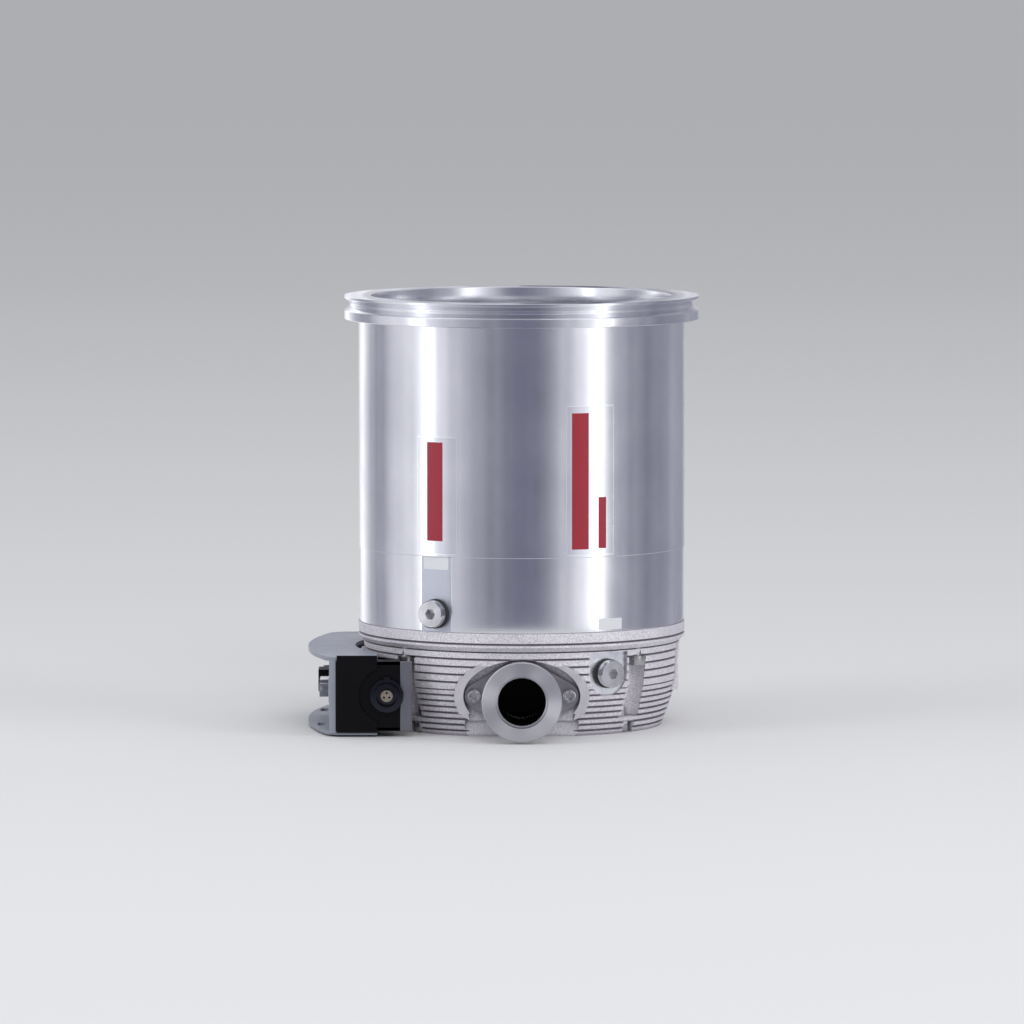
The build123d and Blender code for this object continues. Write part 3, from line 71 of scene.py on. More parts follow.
def new_finish(name):
    """An empty finish with its shader, ready for the nodes of one surface."""
    finish = bpy.data.materials.new(name)
    finish.use_nodes = True
    return finish, finish.node_tree, finish.node_tree.nodes["Principled BSDF"]


def put_in_scene(name, mesh):
    """A piece at the origin that holds a mesh."""
    piece = bpy.data.objects.new(name, mesh)
    bpy.context.scene.collection.objects.link(piece)
    return piece


def piece_of(name, bm, *finishes):
    """A piece at the origin from a worked mesh, with its finishes."""
    mesh = bpy.data.meshes.new(name)
    bm.to_mesh(mesh)
    bm.free()
    for finish in finishes:
        mesh.materials.append(finish)
    return put_in_scene(name, mesh)


studio_paper, tree, shader = new_finish("studio_paper")
shader.inputs["Base Color"].default_value = tone((0.76, 0.76, 0.77))
shader.inputs["Roughness"].default_value = 0.9
shader.inputs["Specular IOR Level"].default_value = 0.1
paper = bmesh.new()
bmesh.ops.create_grid(paper, x_segments=8, y_segments=8, size=floor_reach)
bmesh.ops.translate(paper, verts=paper.verts, vec=(0, 0, floor_z))
floor = piece_of("studio_floor", paper, studio_paper)


def soft_light(name, place, aim, width, height, watts):
    """A rectangular soft light that faces a point."""
    lamp = bpy.data.lights.new(name, "AREA")
    lamp.shape = "RECTANGLE"
    lamp.size, lamp.size_y = width, height
    lamp.energy = watts
    stand = bpy.data.objects.new(name, lamp)
    stand.location = place
    stand.rotation_euler = (Vector(aim) - Vector(place)).to_track_quat("-Z", "Y").to_euler()
    bpy.context.scene.collection.objects.link(stand)


def round_the_pump(azimuth, distance, height):
    """A point beside the pump; azimuth 0 is in front, positive to the right."""
    return (distance * sin(radians(azimuth)), -distance * cos(radians(azimuth)), height)


middle = (0, 0, 0.11)
soft_light("sky", (0, 0.4, 3.0), (0, 0.4, 0), 4.5, 4.5, 26)
soft_light("front_fill", (0.6, -3.0, 2.0), middle, 1.6, 1.0, 24)
soft_light("left_fill", round_the_pump(-60, 2.2, 1.0), middle, 1.0, 1.2, 10)
soft_light("right_fill", round_the_pump(60, 2.2, 1.0), middle, 1.0, 1.2, 10)


def add_step(tree, kind, values=(), **settings):
    """One node; each value is a plain one or an earlier node's output, by input name or number."""
    node = tree.nodes.new(kind)
    for key, value in settings.items():
        setattr(node, key, value)
    for key, value in dict(values).items():
        if isinstance(value, bpy.types.NodeSocket):
            tree.links.new(value, node.inputs[key])
        else:
            node.inputs[key].default_value = value
    return node.outputs


def arithmetic(tree, operation, *values):
    """A sum on plain numbers."""
    return add_step(tree, "ShaderNodeMath", enumerate(values), operation=operation)[0]


# The tent is a wall that only gloss sees. Its panels are given by azimuth in degrees and by
# brightness, and the cloth between them hangs in soft folds.
tent_radius, tent_height, tent_lift = 0.27, 0.8, 0.001
tent_gain, fold_contrast, folds_round = 2.4, 0.34, 75
cool_tint = 0.028
panels = [
    (-180, 0.40), (-169, 0.60), (-160, 0.95), (-150, 0.60), (-138, 1.45), (-128, 0.85),
    (-118, 0.45), (-103, 0.32), (-92, 0.66), (-82, 0.70), (-70, 0.85), (-64, 1.10), (-59, 2.40),
    (-54, 0.85), (-42, 0.62), (-30, 0.42), (-16, 0.28), (0, 0.17), (10, 0.18), (20, 0.42),
    (36, 0.84), (43, 1.30), (48, 2.40), (55, 0.52), (68, 0.34), (84, 0.26), (102, 0.26),
    (120, 0.42), (136, 0.32), (152, 0.55), (160, 0.80), (170, 0.24),
]
tent_cloth = bpy.data.materials.new("tent_cloth")
tent_cloth.use_nodes = True
tree = tent_cloth.node_tree
tree.nodes.clear()
place = add_step(tree, "ShaderNodeTexCoord")["Object"]
across = add_step(tree, "ShaderNodeSeparateXYZ", {0: place})
turn = arithmetic(tree, "ARCTAN2", across["X"], arithmetic(tree, "MULTIPLY", across["Y"], -1.0))
share = add_step(tree, "ShaderNodeMapRange", {"Value": turn, "From Min": -pi, "From Max": pi})[0]
folds = add_step(
    tree, "ShaderNodeTexNoise", {"W": share, "Scale": folds_round, "Detail": 4}, noise_dimensions="1D",
)[0]
fold_depth = add_step(tree, "ShaderNodeMapRange", {
    "Value": folds, "From Min": 0.3, "From Max": 0.7,
    "To Min": (1 - fold_contrast) * tent_gain, "To Max": (1 + fold_contrast) * tent_gain,
})[0]
ramp = tree.nodes.new("ShaderNodeValToRGB")
stops = ramp.color_ramp.elements
while len(stops) < len(panels):
    stops.new(1.0)
for stop, (azimuth, brightness) in zip(stops, panels):
    stop.position = azimuth / 360 + 0.5
    level = brightness / tent_gain
    stop.color = tone((level, level, level + cool_tint))
tree.links.new(share, ramp.inputs["Fac"])
glow = add_step(tree, "ShaderNodeEmission", {"Color": ramp.outputs["Color"], "Strength": fold_depth})
add_step(tree, "ShaderNodeOutputMaterial", {"Surface": glow[0]})
tent = bmesh.new()
bmesh.ops.create_cone(
    tent, cap_ends=False, segments=96, radius1=tent_radius, radius2=tent_radius, depth=tent_height,
)
bmesh.ops.translate(tent, verts=tent.verts, vec=(0, 0, tent_height / 2 + tent_lift))
bmesh.ops.reverse_faces(tent, faces=tent.faces)
light_tent = piece_of("light_tent", tent, tent_cloth)
for seen_by in ("camera", "diffuse", "shadow", "transmission", "volume_scatter"):
    setattr(light_tent, f"visible_{seen_by}", False)

# The air glows a little brighter where it is seen, in a mirror or through glass than as a light.
air_as_light, air_as_seen = 0.56, 0.66
studio_air = bpy.data.worlds.new("studio_air")
studio_air.use_nodes = True
air_tree = studio_air.node_tree
air = air_tree.nodes["Background"]
air.inputs["Color"].default_value = tone((0.95, 0.97, 1.0))
ray = add_step(air_tree, "ShaderNodeLightPath")
seen = arithmetic(air_tree, "MAXIMUM", ray["Is Camera Ray"], ray["Is Glossy Ray"])
seen = arithmetic(air_tree, "MAXIMUM", seen, ray["Is Transmission Ray"])
air_range = {"Value": seen, "To Min": air_as_light, "To Max": air_as_seen}
air_tree.links.new(add_step(air_tree, "ShaderNodeMapRange", air_range)[0], air.inputs["Strength"])
bpy.context.scene.world = studio_air
bpy.context.scene.view_settings.view_transform = "Standard"

# The camera stands far off and slightly above, aimed a little left of the rotor axis.
camera = bpy.data.cameras.new("camera")
camera.sensor_width = 36.0
camera_distance = 4.5
camera_rise = radians(4.5)
frame_width = 0.5202
camera.lens = camera.sensor_width * camera_distance / frame_width
camera.clip_end = 50.0
camera_stand = bpy.data.objects.new("camera", camera)
aim = Vector((-0.0049, 0.0, 0.1075))
camera_stand.location = aim + camera_distance * Vector((0, -cos(camera_rise), sin(camera_rise)))
camera_stand.rotation_euler = (pi / 2 - camera_rise, 0, 0)
bpy.context.scene.collection.objects.link(camera_stand)
bpy.context.scene.camera = camera_stand

# ---------------------------------------------------------------------------------------------
# Inlet housing: a tube turned from one forging of aluminium, with the clamp flange on top and an
# upright flat milled for the vent plug. The fine marks of the lathe run round it.
# ---------------------------------------------------------------------------------------------
housing_low, housing_high = (Vector(corner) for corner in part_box("inlet_housing"))
inlet_z = housing_high.z
base_top = housing_low.z
flange_r = housing_high.x
inlet_r = 0.0765
tube_r = 0.0827
flange_height = 0.012
lip_height = 0.0013
groove_depth, groove_slope, groove_floor = 0.0028, 0.0023, 0.0016
ring_groove_depth, ring_groove_height, ring_groove_down = 0.0014, 0.00255, 0.011
band_r = 0.0823
band_top = base_top + 0.0377
foot_bore_r = 0.0720
drag_seat = base_top + 0.0731
vent_azimuth = radians(-31.5)
vent_flat_half = 0.0084
vent_flat_r = (band_r**2 - vent_flat_half**2) ** 0.5


def eased(corner, before, after, radius, steps=3):
    """A corner of a turned profile, rounded over a few points."""
    corner, before, after = Vector(corner), Vector(before), Vector(after)
    start = corner + (before - corner).normalized() * radius
    end = corner + (after - corner).normalized() * radius
    points = []
    for step in range(steps + 1):
        t = step / steps
        points.append(start * (1 - t) ** 2 + corner * 2 * t * (1 - t) + end * t**2)
    return points


def eased_profile(corners):
    """A closed profile (radius, height) with each corner rounded by its own radius."""
    places = [place for place, _ in corners]
    profile = []
    for index, (corner, radius) in enumerate(corners):
        before, after = places[index - 1], places[(index + 1) % len(places)]
        profile += eased(corner, before, after, radius) if radius else [Vector(corner)]
    return profile


def start_tree(name, sizes):
    """A node tree that takes geometry and named sizes, and gives geometry back."""
    tree = bpy.data.node_groups.new(name, "GeometryNodeTree")
    tree.interface.new_socket("Geometry", in_out="INPUT", socket_type="NodeSocketGeometry")
    for label, kind in sizes:
        tree.interface.new_socket(label, in_out="INPUT", socket_type="NodeSocket" + kind)
    tree.interface.new_socket("Geometry", in_out="OUTPUT", socket_type="NodeSocketGeometry")
    return tree, tree.nodes.new("NodeGroupInput").outputs, tree.nodes.new("NodeGroupOutput").inputs


def arrows(tree, operation, *values):
    """A sum on vectors."""
    return add_step(tree, "ShaderNodeVectorMath", enumerate(values), operation=operation)


def finish_tree(tree, geometry, finish, way_out, corner=28):
    """Rounds shaded smooth, sharp corners kept, instances made real, and the finish set."""
    round_faces = add_step(tree, "GeometryNodeSetShadeSmooth", {0: geometry, 2: True}, domain="FACE")
    angle = add_step(tree, "GeometryNodeInputMeshEdgeAngle")[0]
    sharp = add_step(tree, "FunctionNodeCompare", {0: angle, 1: radians(corner)}, operation="GREATER_THAN")
    eased_edges = {0: round_faces[0], 1: sharp[0], 2: False}
    edges = add_step(tree, "GeometryNodeSetShadeSmooth", eased_edges, domain="EDGE")
    real = add_step(tree, "GeometryNodeRealizeInstances", {0: edges[0]})
    done = add_step(tree, "GeometryNodeSetMaterial", {"Geometry": real[0], "Material": finish})
    tree.links.new(done[0], way_out[0])


def made_by(tree, name, values, start=None):
    """Runs a tree once and keeps its result as a plain mesh at the origin."""
    piece = put_in_scene(name, start or bpy.data.meshes.new(name))
    work = piece.modifiers.new(tree.name, "NODES")
    work.node_group = tree
    for socket in tree.interface.items_tree:
        if socket.item_type == "SOCKET" and socket.in_out == "INPUT" and socket.name in values:
            work[socket.identifier] = values[socket.name]
    graph = bpy.context.evaluated_depsgraph_get()
    result = bpy.data.meshes.new_from_object(piece.evaluated_get(graph), depsgraph=graph)
    piece.modifiers.remove(work)
    piece.data = result
    return piece


def outline_mesh(name, profile):
    """A closed profile as a loop of edges, in the order that the lathe tree sweeps outwards."""
    mesh = bpy.data.meshes.new(name)
    points = [(r, -z, 0.0) for r, z in reversed(profile)]
    mesh.from_pydata(points, [(i, (i + 1) % len(points)) for i in range(len(points))], [])
    return mesh


# The lathe: sweeps a profile round Z, then mills one upright flat below a given height.
lathe, size, way_out = start_tree(
    "lathe", [("Segments", "Int"), ("Flat Direction", "Vector"), ("Flat Distance", "Float"),
              ("Flat Top", "Float"), ("Finish", "Material")]
)
chuck_radius = 0.001
to_chuck = (-chuck_radius, 0, 0)
profile = add_step(lathe, "GeometryNodeMeshToCurve", {"Mesh": size["Geometry"]})
shifted = add_step(lathe, "GeometryNodeTransform", {"Geometry": profile[0], "Translation": to_chuck})
round_path = {"Resolution": size["Segments"], "Radius": chuck_radius}
path = add_step(lathe, "GeometryNodeCurvePrimitiveCircle", round_path)
swept = add_step(lathe, "GeometryNodeCurveToMesh", {"Curve": path[0], "Profile Curve": shifted[0]})
point = add_step(lathe, "GeometryNodeInputPosition")[0]
ahead = arrows(lathe, "DOT_PRODUCT", point, size["Flat Direction"])["Value"]
over = arithmetic(lathe, "MAXIMUM", arithmetic(lathe, "SUBTRACT", ahead, size["Flat Distance"]), 0.0)
height = add_step(lathe, "ShaderNodeSeparateXYZ", {0: point})[2]
below = arithmetic(lathe, "LESS_THAN", height, size["Flat Top"])
back = arithmetic(lathe, "MULTIPLY", arithmetic(lathe, "MULTIPLY", over, below), -1.0)
shift = arrows(lathe, "SCALE", size["Flat Direction"])
lathe.links.new(back, shift["Vector"].node.inputs["Scale"])
milled_flat = add_step(lathe, "GeometryNodeSetPosition", {"Geometry": swept[0], "Offset": shift["Vector"]})
finish_tree(lathe, milled_flat[0], size["Finish"], way_out, corner=24)


def noise(tree, vector, scale, stretch=(1, 1, 1), detail=2.0, roughness=0.5):
    """A noise pattern, stretched along the axes."""
    mapping = add_step(tree, "ShaderNodeMapping", {"Vector": vector, "Scale": stretch})
    values = {"Vector": mapping[0], "Scale": scale, "Detail": detail, "Roughness": roughness}
    return add_step(tree, "ShaderNodeTexNoise", values)[0]


def blend_tones(tree, factor, low, high, dark, light):
    """Two tones mixed by a pattern between two of its levels."""
    ramp = tree.nodes.new("ShaderNodeValToRGB")
    for stop, level, colour in zip(ramp.color_ramp.elements, (low, high), (dark, light)):
        stop.position = level
        stop.color = tone(colour)
    tree.links.new(factor, ramp.inputs["Fac"])
    return ramp.outputs["Color"]


def spread(tree, factor, low, high):
    """A pattern mapped to a range of plain numbers."""
    values = {"Value": factor, "From Min": 0.3, "From Max": 0.7, "To Min": low, "To Max": high}
    return add_step(tree, "ShaderNodeMapRange", values)[0]


def relief(tree, shader, height, distance, strength=1.0):
    """A fine relief from a pattern."""
    bump = add_step(tree, "ShaderNodeBump", {"Height": height, "Distance": distance, "Strength": strength})
    tree.links.new(bump[0], shader.inputs["Normal"])


def turned_metal(name, dark, light, roughness, anisotropy=0.75, axis="Z", centre=(0, 0, 0), marks=0.000004):
    """Lathe-turned metal: grain round the axis, fine tool marks, faint cloudy tarnish."""
    finish, tree, shader = new_finish(name)
    shader.inputs["Metallic"].default_value = 1.0
    shader.inputs["Anisotropic"].default_value = anisotropy
    place = add_step(tree, "ShaderNodeTexCoord")["Object"]
    from_axis = arrows(tree, "SUBTRACT", place, centre)[0]
    round_axis = arrows(tree, "CROSS_PRODUCT", {"Z": (0, 0, 1), "Y": (0, 1, 0)}[axis], from_axis)[0]
    tree.links.new(arrows(tree, "NORMALIZE", round_axis)[0], shader.inputs["Tangent"])
    clouds = noise(tree, place, 28, detail=4)
    tree.links.new(blend_tones(tree, clouds, 0.35, 0.65, dark, light), shader.inputs["Base Color"])
    smudges = noise(tree, place, 60, detail=3, roughness=0.6)
    tree.links.new(spread(tree, smudges, roughness * 0.85, roughness * 1.15), shader.inputs["Roughness"])
    tool = noise(tree, from_axis, 2600, stretch=(0.02, 0.02, 1) if axis == "Z" else (0.02, 1, 0.02))
    relief(tree, shader, tool, marks, 0.6)
    return finish


def direction(azimuth):
    """The outward direction at an azimuth."""
    return Vector((sin(azimuth), -cos(azimuth), 0))


def stands_for(piece, node, body="pump_case"):
    """Puts a finished piece in the place of a solid of the pump."""
    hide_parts(node)
    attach(piece, body)


turned_aluminium = turned_metal("turned_aluminium", (0.76, 0.77, 0.80), (0.84, 0.85, 0.87), 0.15, 0.85)
lip_z = inlet_z - lip_height
groove_top = lip_z - groove_slope
groove_low = groove_top - groove_floor
groove_r = flange_r - groove_depth
flange_under = inlet_z - flange_height
ring_z = inlet_z - ring_groove_down
housing_profile = eased_profile([
    ((foot_bore_r, base_top), 0.0003),
    ((band_r, base_top), 0.0004),
    ((band_r, band_top), 0),
    ((tube_r, band_top + 0.0002), 0.0001),
    ((tube_r, flange_under), 0.0008),
    ((flange_r, flange_under), 0.0006),
    ((flange_r, groove_low - groove_slope), 0.0004),
    ((groove_r, groove_low), 0.0003),
    ((groove_r, groove_top), 0.0003),
    ((flange_r, lip_z), 0.0002),
    ((flange_r, inlet_z), 0.0003),
    ((inlet_r, inlet_z), 0.0006),
    ((inlet_r, ring_z + ring_groove_height), 0),
    ((inlet_r + ring_groove_depth, ring_z + ring_groove_height), 0),
    ((inlet_r + ring_groove_depth, ring_z), 0),
    ((inlet_r, ring_z), 0),
    ((inlet_r, drag_seat), 0),
    ((foot_bore_r, drag_seat), 0),
])
housing = made_by(lathe, "inlet_housing_turned", {
    "Segments": 480,
    "Flat Direction": direction(vent_azimuth),
    "Flat Distance": vent_flat_r,
    "Flat Top": band_top + 0.0001,
    "Finish": turned_aluminium,
}, outline_mesh("housing_profile", housing_profile))
stands_for(housing, "inlet_housing")

# ---------------------------------------------------------------------------------------------
# Labels: two strips of clear film with plain printed bars on the tube, and two small white plates
# beside the plugs. All are thin, and glued to the turned metal.
# ---------------------------------------------------------------------------------------------
label_lift = 0.00001


def loft(loops):
    """A closed solid through loops of points, each with as many points as the next."""
    bm = bmesh.new()
    rings = [[bm.verts.new(place) for place in loop] for loop in loops]
    bm.faces.new(reversed(rings[0]))
    bm.faces.new(rings[-1])
    for here, there in zip(rings, rings[1:]):
        for index in range(len(here)):
            after = (index + 1) % len(here)
            bm.faces.new((here[index], here[after], there[after], there[index]))
    bmesh.ops.recalc_face_normals(bm, faces=bm.faces)
    return bm


def curved_label(name, radius, left, right, low, high, thickness, finish, steps=24):
    """A thin slab that follows the tube between two azimuths, in degrees, and two heights."""
    inner, outer = radius, radius + thickness
    slices = []
    for step in range(steps + 1):
        outward = direction(radians(left + (right - left) * step / steps))
        section = ((inner, low), (outer, low), (outer, high), (inner, high))
        slices.append([outward * r + Vector((0, 0, z)) for r, z in section])
    label = piece_of(name, loft(slices), finish)
    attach(label, "pump_case")


def plain_solid(name, colour, roughness, grain_size=0.0004, grain_depth=0.00002, unevenness=0.8):
    """Rubber, plastic, paint or print: a flat colour with a fine grain and a little unevenness."""
    finish, tree, shader = new_finish(name)
    place = add_step(tree, "ShaderNodeTexCoord")["Object"]
    clouds = noise(tree, place, 90, detail=3)
    darker = tuple(unevenness * channel for channel in colour)
    tree.links.new(blend_tones(tree, clouds, 0.3, 0.7, darker, colour), shader.inputs["Base Color"])
    tree.links.new(spread(tree, clouds, roughness * 0.85, roughness * 1.15), shader.inputs["Roughness"])
    relief(tree, shader, noise(tree, place, 1 / grain_size, detail=1), grain_depth, 0.6)
    return finish


film = turned_metal("clear_film", (0.72, 0.73, 0.76), (0.78, 0.79, 0.82), 0.15, 0.85)
film_edge = turned_metal("film_edge", (0.84, 0.85, 0.88), (0.88, 0.89, 0.91), 0.26, 0.6)
red_print = plain_solid("red_print", (0.32, 0.006, 0.022), 0.4, unevenness=0.95)
film_thickness, print_thickness, plate_thickness = 0.00006, 0.00003, 0.0001
edge_turn, edge_rise = 0.35, 0.0005
film_r = tube_r + label_lift
print_r = film_r + film_thickness
# name, left and right azimuth in degrees, low and high in metres
films = [("film_left", -39.1, -22.9, 0.0917, 0.1508), ("film_right", 15.5, 33.7, 0.0917, 0.1668)]
for name, left, right, low, high in films:
    curved_label(name, film_r, left, right, low, high, film_thickness, film)
    for part, span in {
        "left": (left, left + edge_turn, low, high), "right": (right - edge_turn, right, low, high),
        "foot": (left, right, low, low + edge_rise), "head": (left, right, high - edge_rise, high),
    }.items():
        curved_label(f"{name}_{part}_rim", print_r, *span, print_thickness, film_edge)
bars = [
    ("bar_left", -34.9, -28.6, 0.0985, 0.1480), ("bar_right_wide", 17.6, 23.8, 0.0948, 0.1630),
    ("bar_right_narrow", 27.6, 30.6, 0.0951, 0.1207),
]
for name, *span in bars:
    curved_label(name, print_r, *span, print_thickness, red_print)
white_plate = plain_solid("white_plate", (0.74, 0.75, 0.78), 0.35, unevenness=0.96)
purge_plate = (28.0, 37.4, base_top + 0.0012, base_top + 0.0068)
curved_label("purge_plate", band_r + label_lift, *purge_plate, plate_thickness, white_plate)


def upright_plate(name, azimuth, distance, half_width, low, high, thickness, finish, ease=0.0005):
    """A thin flat plate on an upright flat, with eased corners."""
    outward = direction(azimuth)
    across = Vector((cos(azimuth), sin(azimuth), 0))
    outline = [
        (-half_width + ease, low), (half_width - ease, low), (half_width, low + ease),
        (half_width, high - ease), (half_width - ease, high), (-half_width + ease, high),
        (-half_width, high - ease), (-half_width, low + ease),
    ]
    plate = piece_of(name, loft(
        [across * u + outward * reach + Vector((0, 0, z)) for u, z in outline]
        for reach in (distance, distance + thickness)
    ), finish)
    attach(plate, "pump_case")


plate_half, plate_foot, plate_head = 0.0072, band_top - 0.0064, band_top - 0.0002
upright_plate(
    "vent_plate", vent_azimuth, vent_flat_r + label_lift, plate_half, plate_foot, plate_head,
    plate_thickness, white_plate,
)

# ---------------------------------------------------------------------------------------------
# Base: a finned aluminium casting with the grain of the sand mould, and satin faces where a
# cutter has gone round the port's pocket and over the seats of the plug and the side boss.
# ---------------------------------------------------------------------------------------------
taper_r = 0.0793
pocket_face_y = taper_r - 0.0022
purge_azimuth = radians(33.5)
purge_flat_r = 0.0770
boss_seat_x = 0.078
chamber_r, chamber_low, chamber_high = 0.0620, 0.004, 0.040
flute_low, flute_high, flute_foot_r, flute_head_r, flute_r = 0.0081, 0.0394, 0.0720, 0.0776, 0.0066
flute_azimuths = [radians(turn) for turn in (46.8, 133.2, -46.8, -133.2)]
port_z, port_seat_y = 0.021, 0.0685
pocket_wide, pocket_high = 0.0293, 0.0183
band_wide, band_high, band_foot_z = 0.0337, 0.0204, 0.0122
slot_half, slot_foot_z = 0.0260, -0.01
register_r, register_floor_y = 0.0155, 0.0683
band_proud, band_back, clear_of_casting_y = 0.0001, 0.003, 0.09
seam_gap, loop_gap = 0.000002, 0.0002
flat_on = 0.999
seat_slack, face_slack, floor_slack = 0.0003, 0.0004, 0.0001


def finished_copy(node, finishes, choose=None, body="pump_case", corner=28, add=(), cut=()):
    """A solid of the pump with seams closed, blocks added or cut, and a finish for each face."""
    bm = bmesh.new()
    bm.from_mesh(nodes[node].data)
    bmesh.ops.remove_doubles(bm, verts=bm.verts, dist=seam_gap)
    if add or cut:
        rough = piece_of(node + "_rough", bm)
        for tools, operation in ((add, "UNION"), (cut, "DIFFERENCE")):
            for tool in tools:
                work = rough.modifiers.new("work", "BOOLEAN")
                work.operation, work.object, work.solver = operation, tool, "EXACT"
        graph = bpy.context.evaluated_depsgraph_get()
        worked = bpy.data.meshes.new_from_object(rough.evaluated_get(graph), depsgraph=graph)
        for spent in (rough, *add, *cut):
            bpy.data.objects.remove(spent)
        bm = bmesh.new()
        bm.from_mesh(worked)
        bmesh.ops.remove_doubles(bm, verts=bm.verts, dist=seam_gap)
        bmesh.ops.triangulate(bm, faces=bm.faces)
    for face in bm.faces:
        face.smooth = True
        face.material_index = choose(face.calc_center_median(), face.normal) if choose else 0
    for edge in bm.edges:
        if len(edge.link_faces) != 2 or edge.calc_face_angle(0) > radians(corner):
            edge.smooth = False
    stands_for(piece_of(node + "_finished", bm, *finishes), node, body)


def plain_metal(name, colour, roughness, metallic=1.0, lines=(1, 1, 0.2)):
    """Machined or plated metal with a faint change of tone and polish, and fine cutter lines."""
    finish, tree, shader = new_finish(name)
    shader.inputs["Metallic"].default_value = metallic
    place = add_step(tree, "ShaderNodeTexCoord")["Object"]
    clouds = noise(tree, place, 180, detail=3)
    darker = tuple(0.92 * channel for channel in colour)
    tree.links.new(blend_tones(tree, clouds, 0.3, 0.7, darker, colour), shader.inputs["Base Color"])
    tree.links.new(spread(tree, clouds, roughness * 0.8, roughness * 1.2), shader.inputs["Roughness"])
    relief(tree, shader, noise(tree, place, 900, stretch=lines), 0.000006, 0.5)
    return finish


cast_aluminium, tree, shader = new_finish("cast_aluminium")
shader.inputs["Metallic"].default_value = 0.35
place = add_step(tree, "ShaderNodeTexCoord")["Object"]
sand = noise(tree, place, 1350, detail=2, roughness=0.7)
flow = noise(tree, place, 55, detail=3)
light_tone = blend_tones(tree, flow, 0.3, 0.7, (0.80, 0.78, 0.83), (0.88, 0.86, 0.91))
sand_tone = blend_tones(tree, sand, 0.30, 0.62, (0.60, 0.58, 0.60), (1.0, 1.0, 1.0))
# Ambient occlusion darkens the casting's colour in the grooves between the fins and in other hollows:
# painted shade.
groove_reach = 0.0022
groove_occlusion = add_step(tree, "ShaderNodeAmbientOcclusion", {"Distance": groove_reach})["AO"]
painted_groove_shade = blend_tones(tree, groove_occlusion, 0.25, 0.90, (0.36, 0.33, 0.36), (1.0, 1.0, 1.0))
surface_tone = light_tone
for darkening in (sand_tone, painted_groove_shade):
    tones = {"Factor": 1.0, 6: surface_tone, 7: darkening}
    surface_tone = add_step(tree, "ShaderNodeMix", tones, data_type="RGBA", blend_type="MULTIPLY")[2]
tree.links.new(surface_tone, shader.inputs["Base Color"])
tree.links.new(spread(tree, sand, 0.5, 0.7), shader.inputs["Roughness"])
relief(tree, shader, sand, 0.00012, 0.7)
milled_face = plain_metal("milled_face", (0.66, 0.64, 0.68), 0.45, metallic=0.5, lines=(0.3, 0.3, 1))
# Near black on the chamber's inner faces and the floor of the port's register: painted shade that stands
# for the depth of the bore.
chamber_painted_shade = plain_solid("chamber_painted_shade", (0.006, 0.006, 0.007), 0.6)
chamber_painted_shade.node_tree.nodes["Principled BSDF"].inputs["Specular IOR Level"].default_value = 0.1
vent_milled = plain_metal("vent_milled", (0.46, 0.48, 0.54), 0.42, lines=(1, 1, 0.12))
housing.data.materials.append(vent_milled)
for face in housing.data.polygons:
    outward = direction(vent_azimuth)
    if face.normal.dot(outward) > 0.9995 and abs(face.center.dot(outward) - vent_flat_r) < 0.0002:
        face.material_index = 1
bright_seat = plain_metal("bright_seat", (0.78, 0.80, 0.84), 0.28, lines=(0.3, 0.3, 1))


def base_face(centre, normal):
    """Which finish a face of the casting has: 0 cast, 1 milled, 2 bright seat, 3 near black as painted
    shade.
    """
    plug_way = direction(purge_azimuth)
    if normal.dot(plug_way) > flat_on and abs(centre.dot(plug_way) - purge_flat_r) < seat_slack:
        return 2
    if normal.y < -flat_on and abs(-centre.y - pocket_face_y) < face_slack:
        return 1
    if normal.x > flat_on and centre.x > boss_seat_x:
        return 1
    # Faces inside the chamber and the register floor get the near-black painted shade.
    if centre.xy.length < chamber_r and chamber_low < centre.z < chamber_high:
        return 3
    if normal.y < -0.99 and abs(-centre.y - register_floor_y) < floor_slack:
        return 3
    return 0


def oval(name, half_width, half_height, near_y, far_y, lowest=None, opening=None, steps=72):
    """An oval block in front of the port's seat; it ends at a height, or opens straight down from one."""
    loop = [
        (half_width * cos(2 * pi * step / steps), port_z + half_height * sin(2 * pi * step / steps))
        for step in range(steps)
    ]
    if lowest is not None:
        loop = [(x, z) for x, z in loop if z > lowest + loop_gap]
    if opening is not None:
        loop = [(x, z) for x, z in loop if z > opening[1]]
    right = [place for place in loop if place[0] > 0]
    left = [place for place in loop if place[0] <= 0]
    ordered = sorted(right, key=lambda place: place[1]) + sorted(left, key=lambda place: -place[1])
    if lowest is not None:
        ordered = [(ordered[0][0], lowest)] + ordered + [(ordered[-1][0], lowest)]
    if opening is not None:
        half_slot, slot_top, slot_foot = opening
        corners = [(half_slot, slot_foot), (half_slot, slot_top)]
        ordered = corners + ordered + [(-x, z) for x, z in reversed(corners)]
    return piece_of(name, loft([(x, -y, z) for x, z in ordered] for y in (near_y, far_y)))


def flute_cutter(azimuth, steps=40):
    """The milling cutter's path for one flute, leaning outwards as it rises."""
    turns = [2 * pi * step / steps for step in range(steps)]
    section = [Vector((flute_r * cos(turn), flute_r * sin(turn), 0)) for turn in turns]
    return piece_of("flute_cutter", loft(
        [direction(azimuth) * out + Vector((0, 0, z)) + point for point in section]
        for out, z in ((flute_foot_r, flute_low), (flute_head_r, flute_high))
    ))


port_band = oval(
    "port_band", band_wide, band_high, port_seat_y - band_back, pocket_face_y + band_proud,
    lowest=band_foot_z,
)
port_pocket = oval(
    "port_pocket", pocket_wide, pocket_high, port_seat_y, clear_of_casting_y,
    opening=(slot_half, band_foot_z, slot_foot_z),
)
port_register = oval("port_register", register_r, register_r, register_floor_y, clear_of_casting_y)
flutes = [flute_cutter(turn) for turn in flute_azimuths]
finished_copy(
    "base_casting", (cast_aluminium, milled_face, bright_seat, chamber_painted_shade), base_face,
    add=[port_band], cut=[port_pocket, port_register, *flutes],
)
seal_rubber = plain_solid("seal_rubber", (0.03, 0.03, 0.03), 0.6)


def dress(node, finish):
    """Gives a solid of the pump its finish and keeps it as it is."""
    nodes[node].data.materials.clear()
    nodes[node].data.materials.append(finish)


dress("housing_seal", seal_rubber)

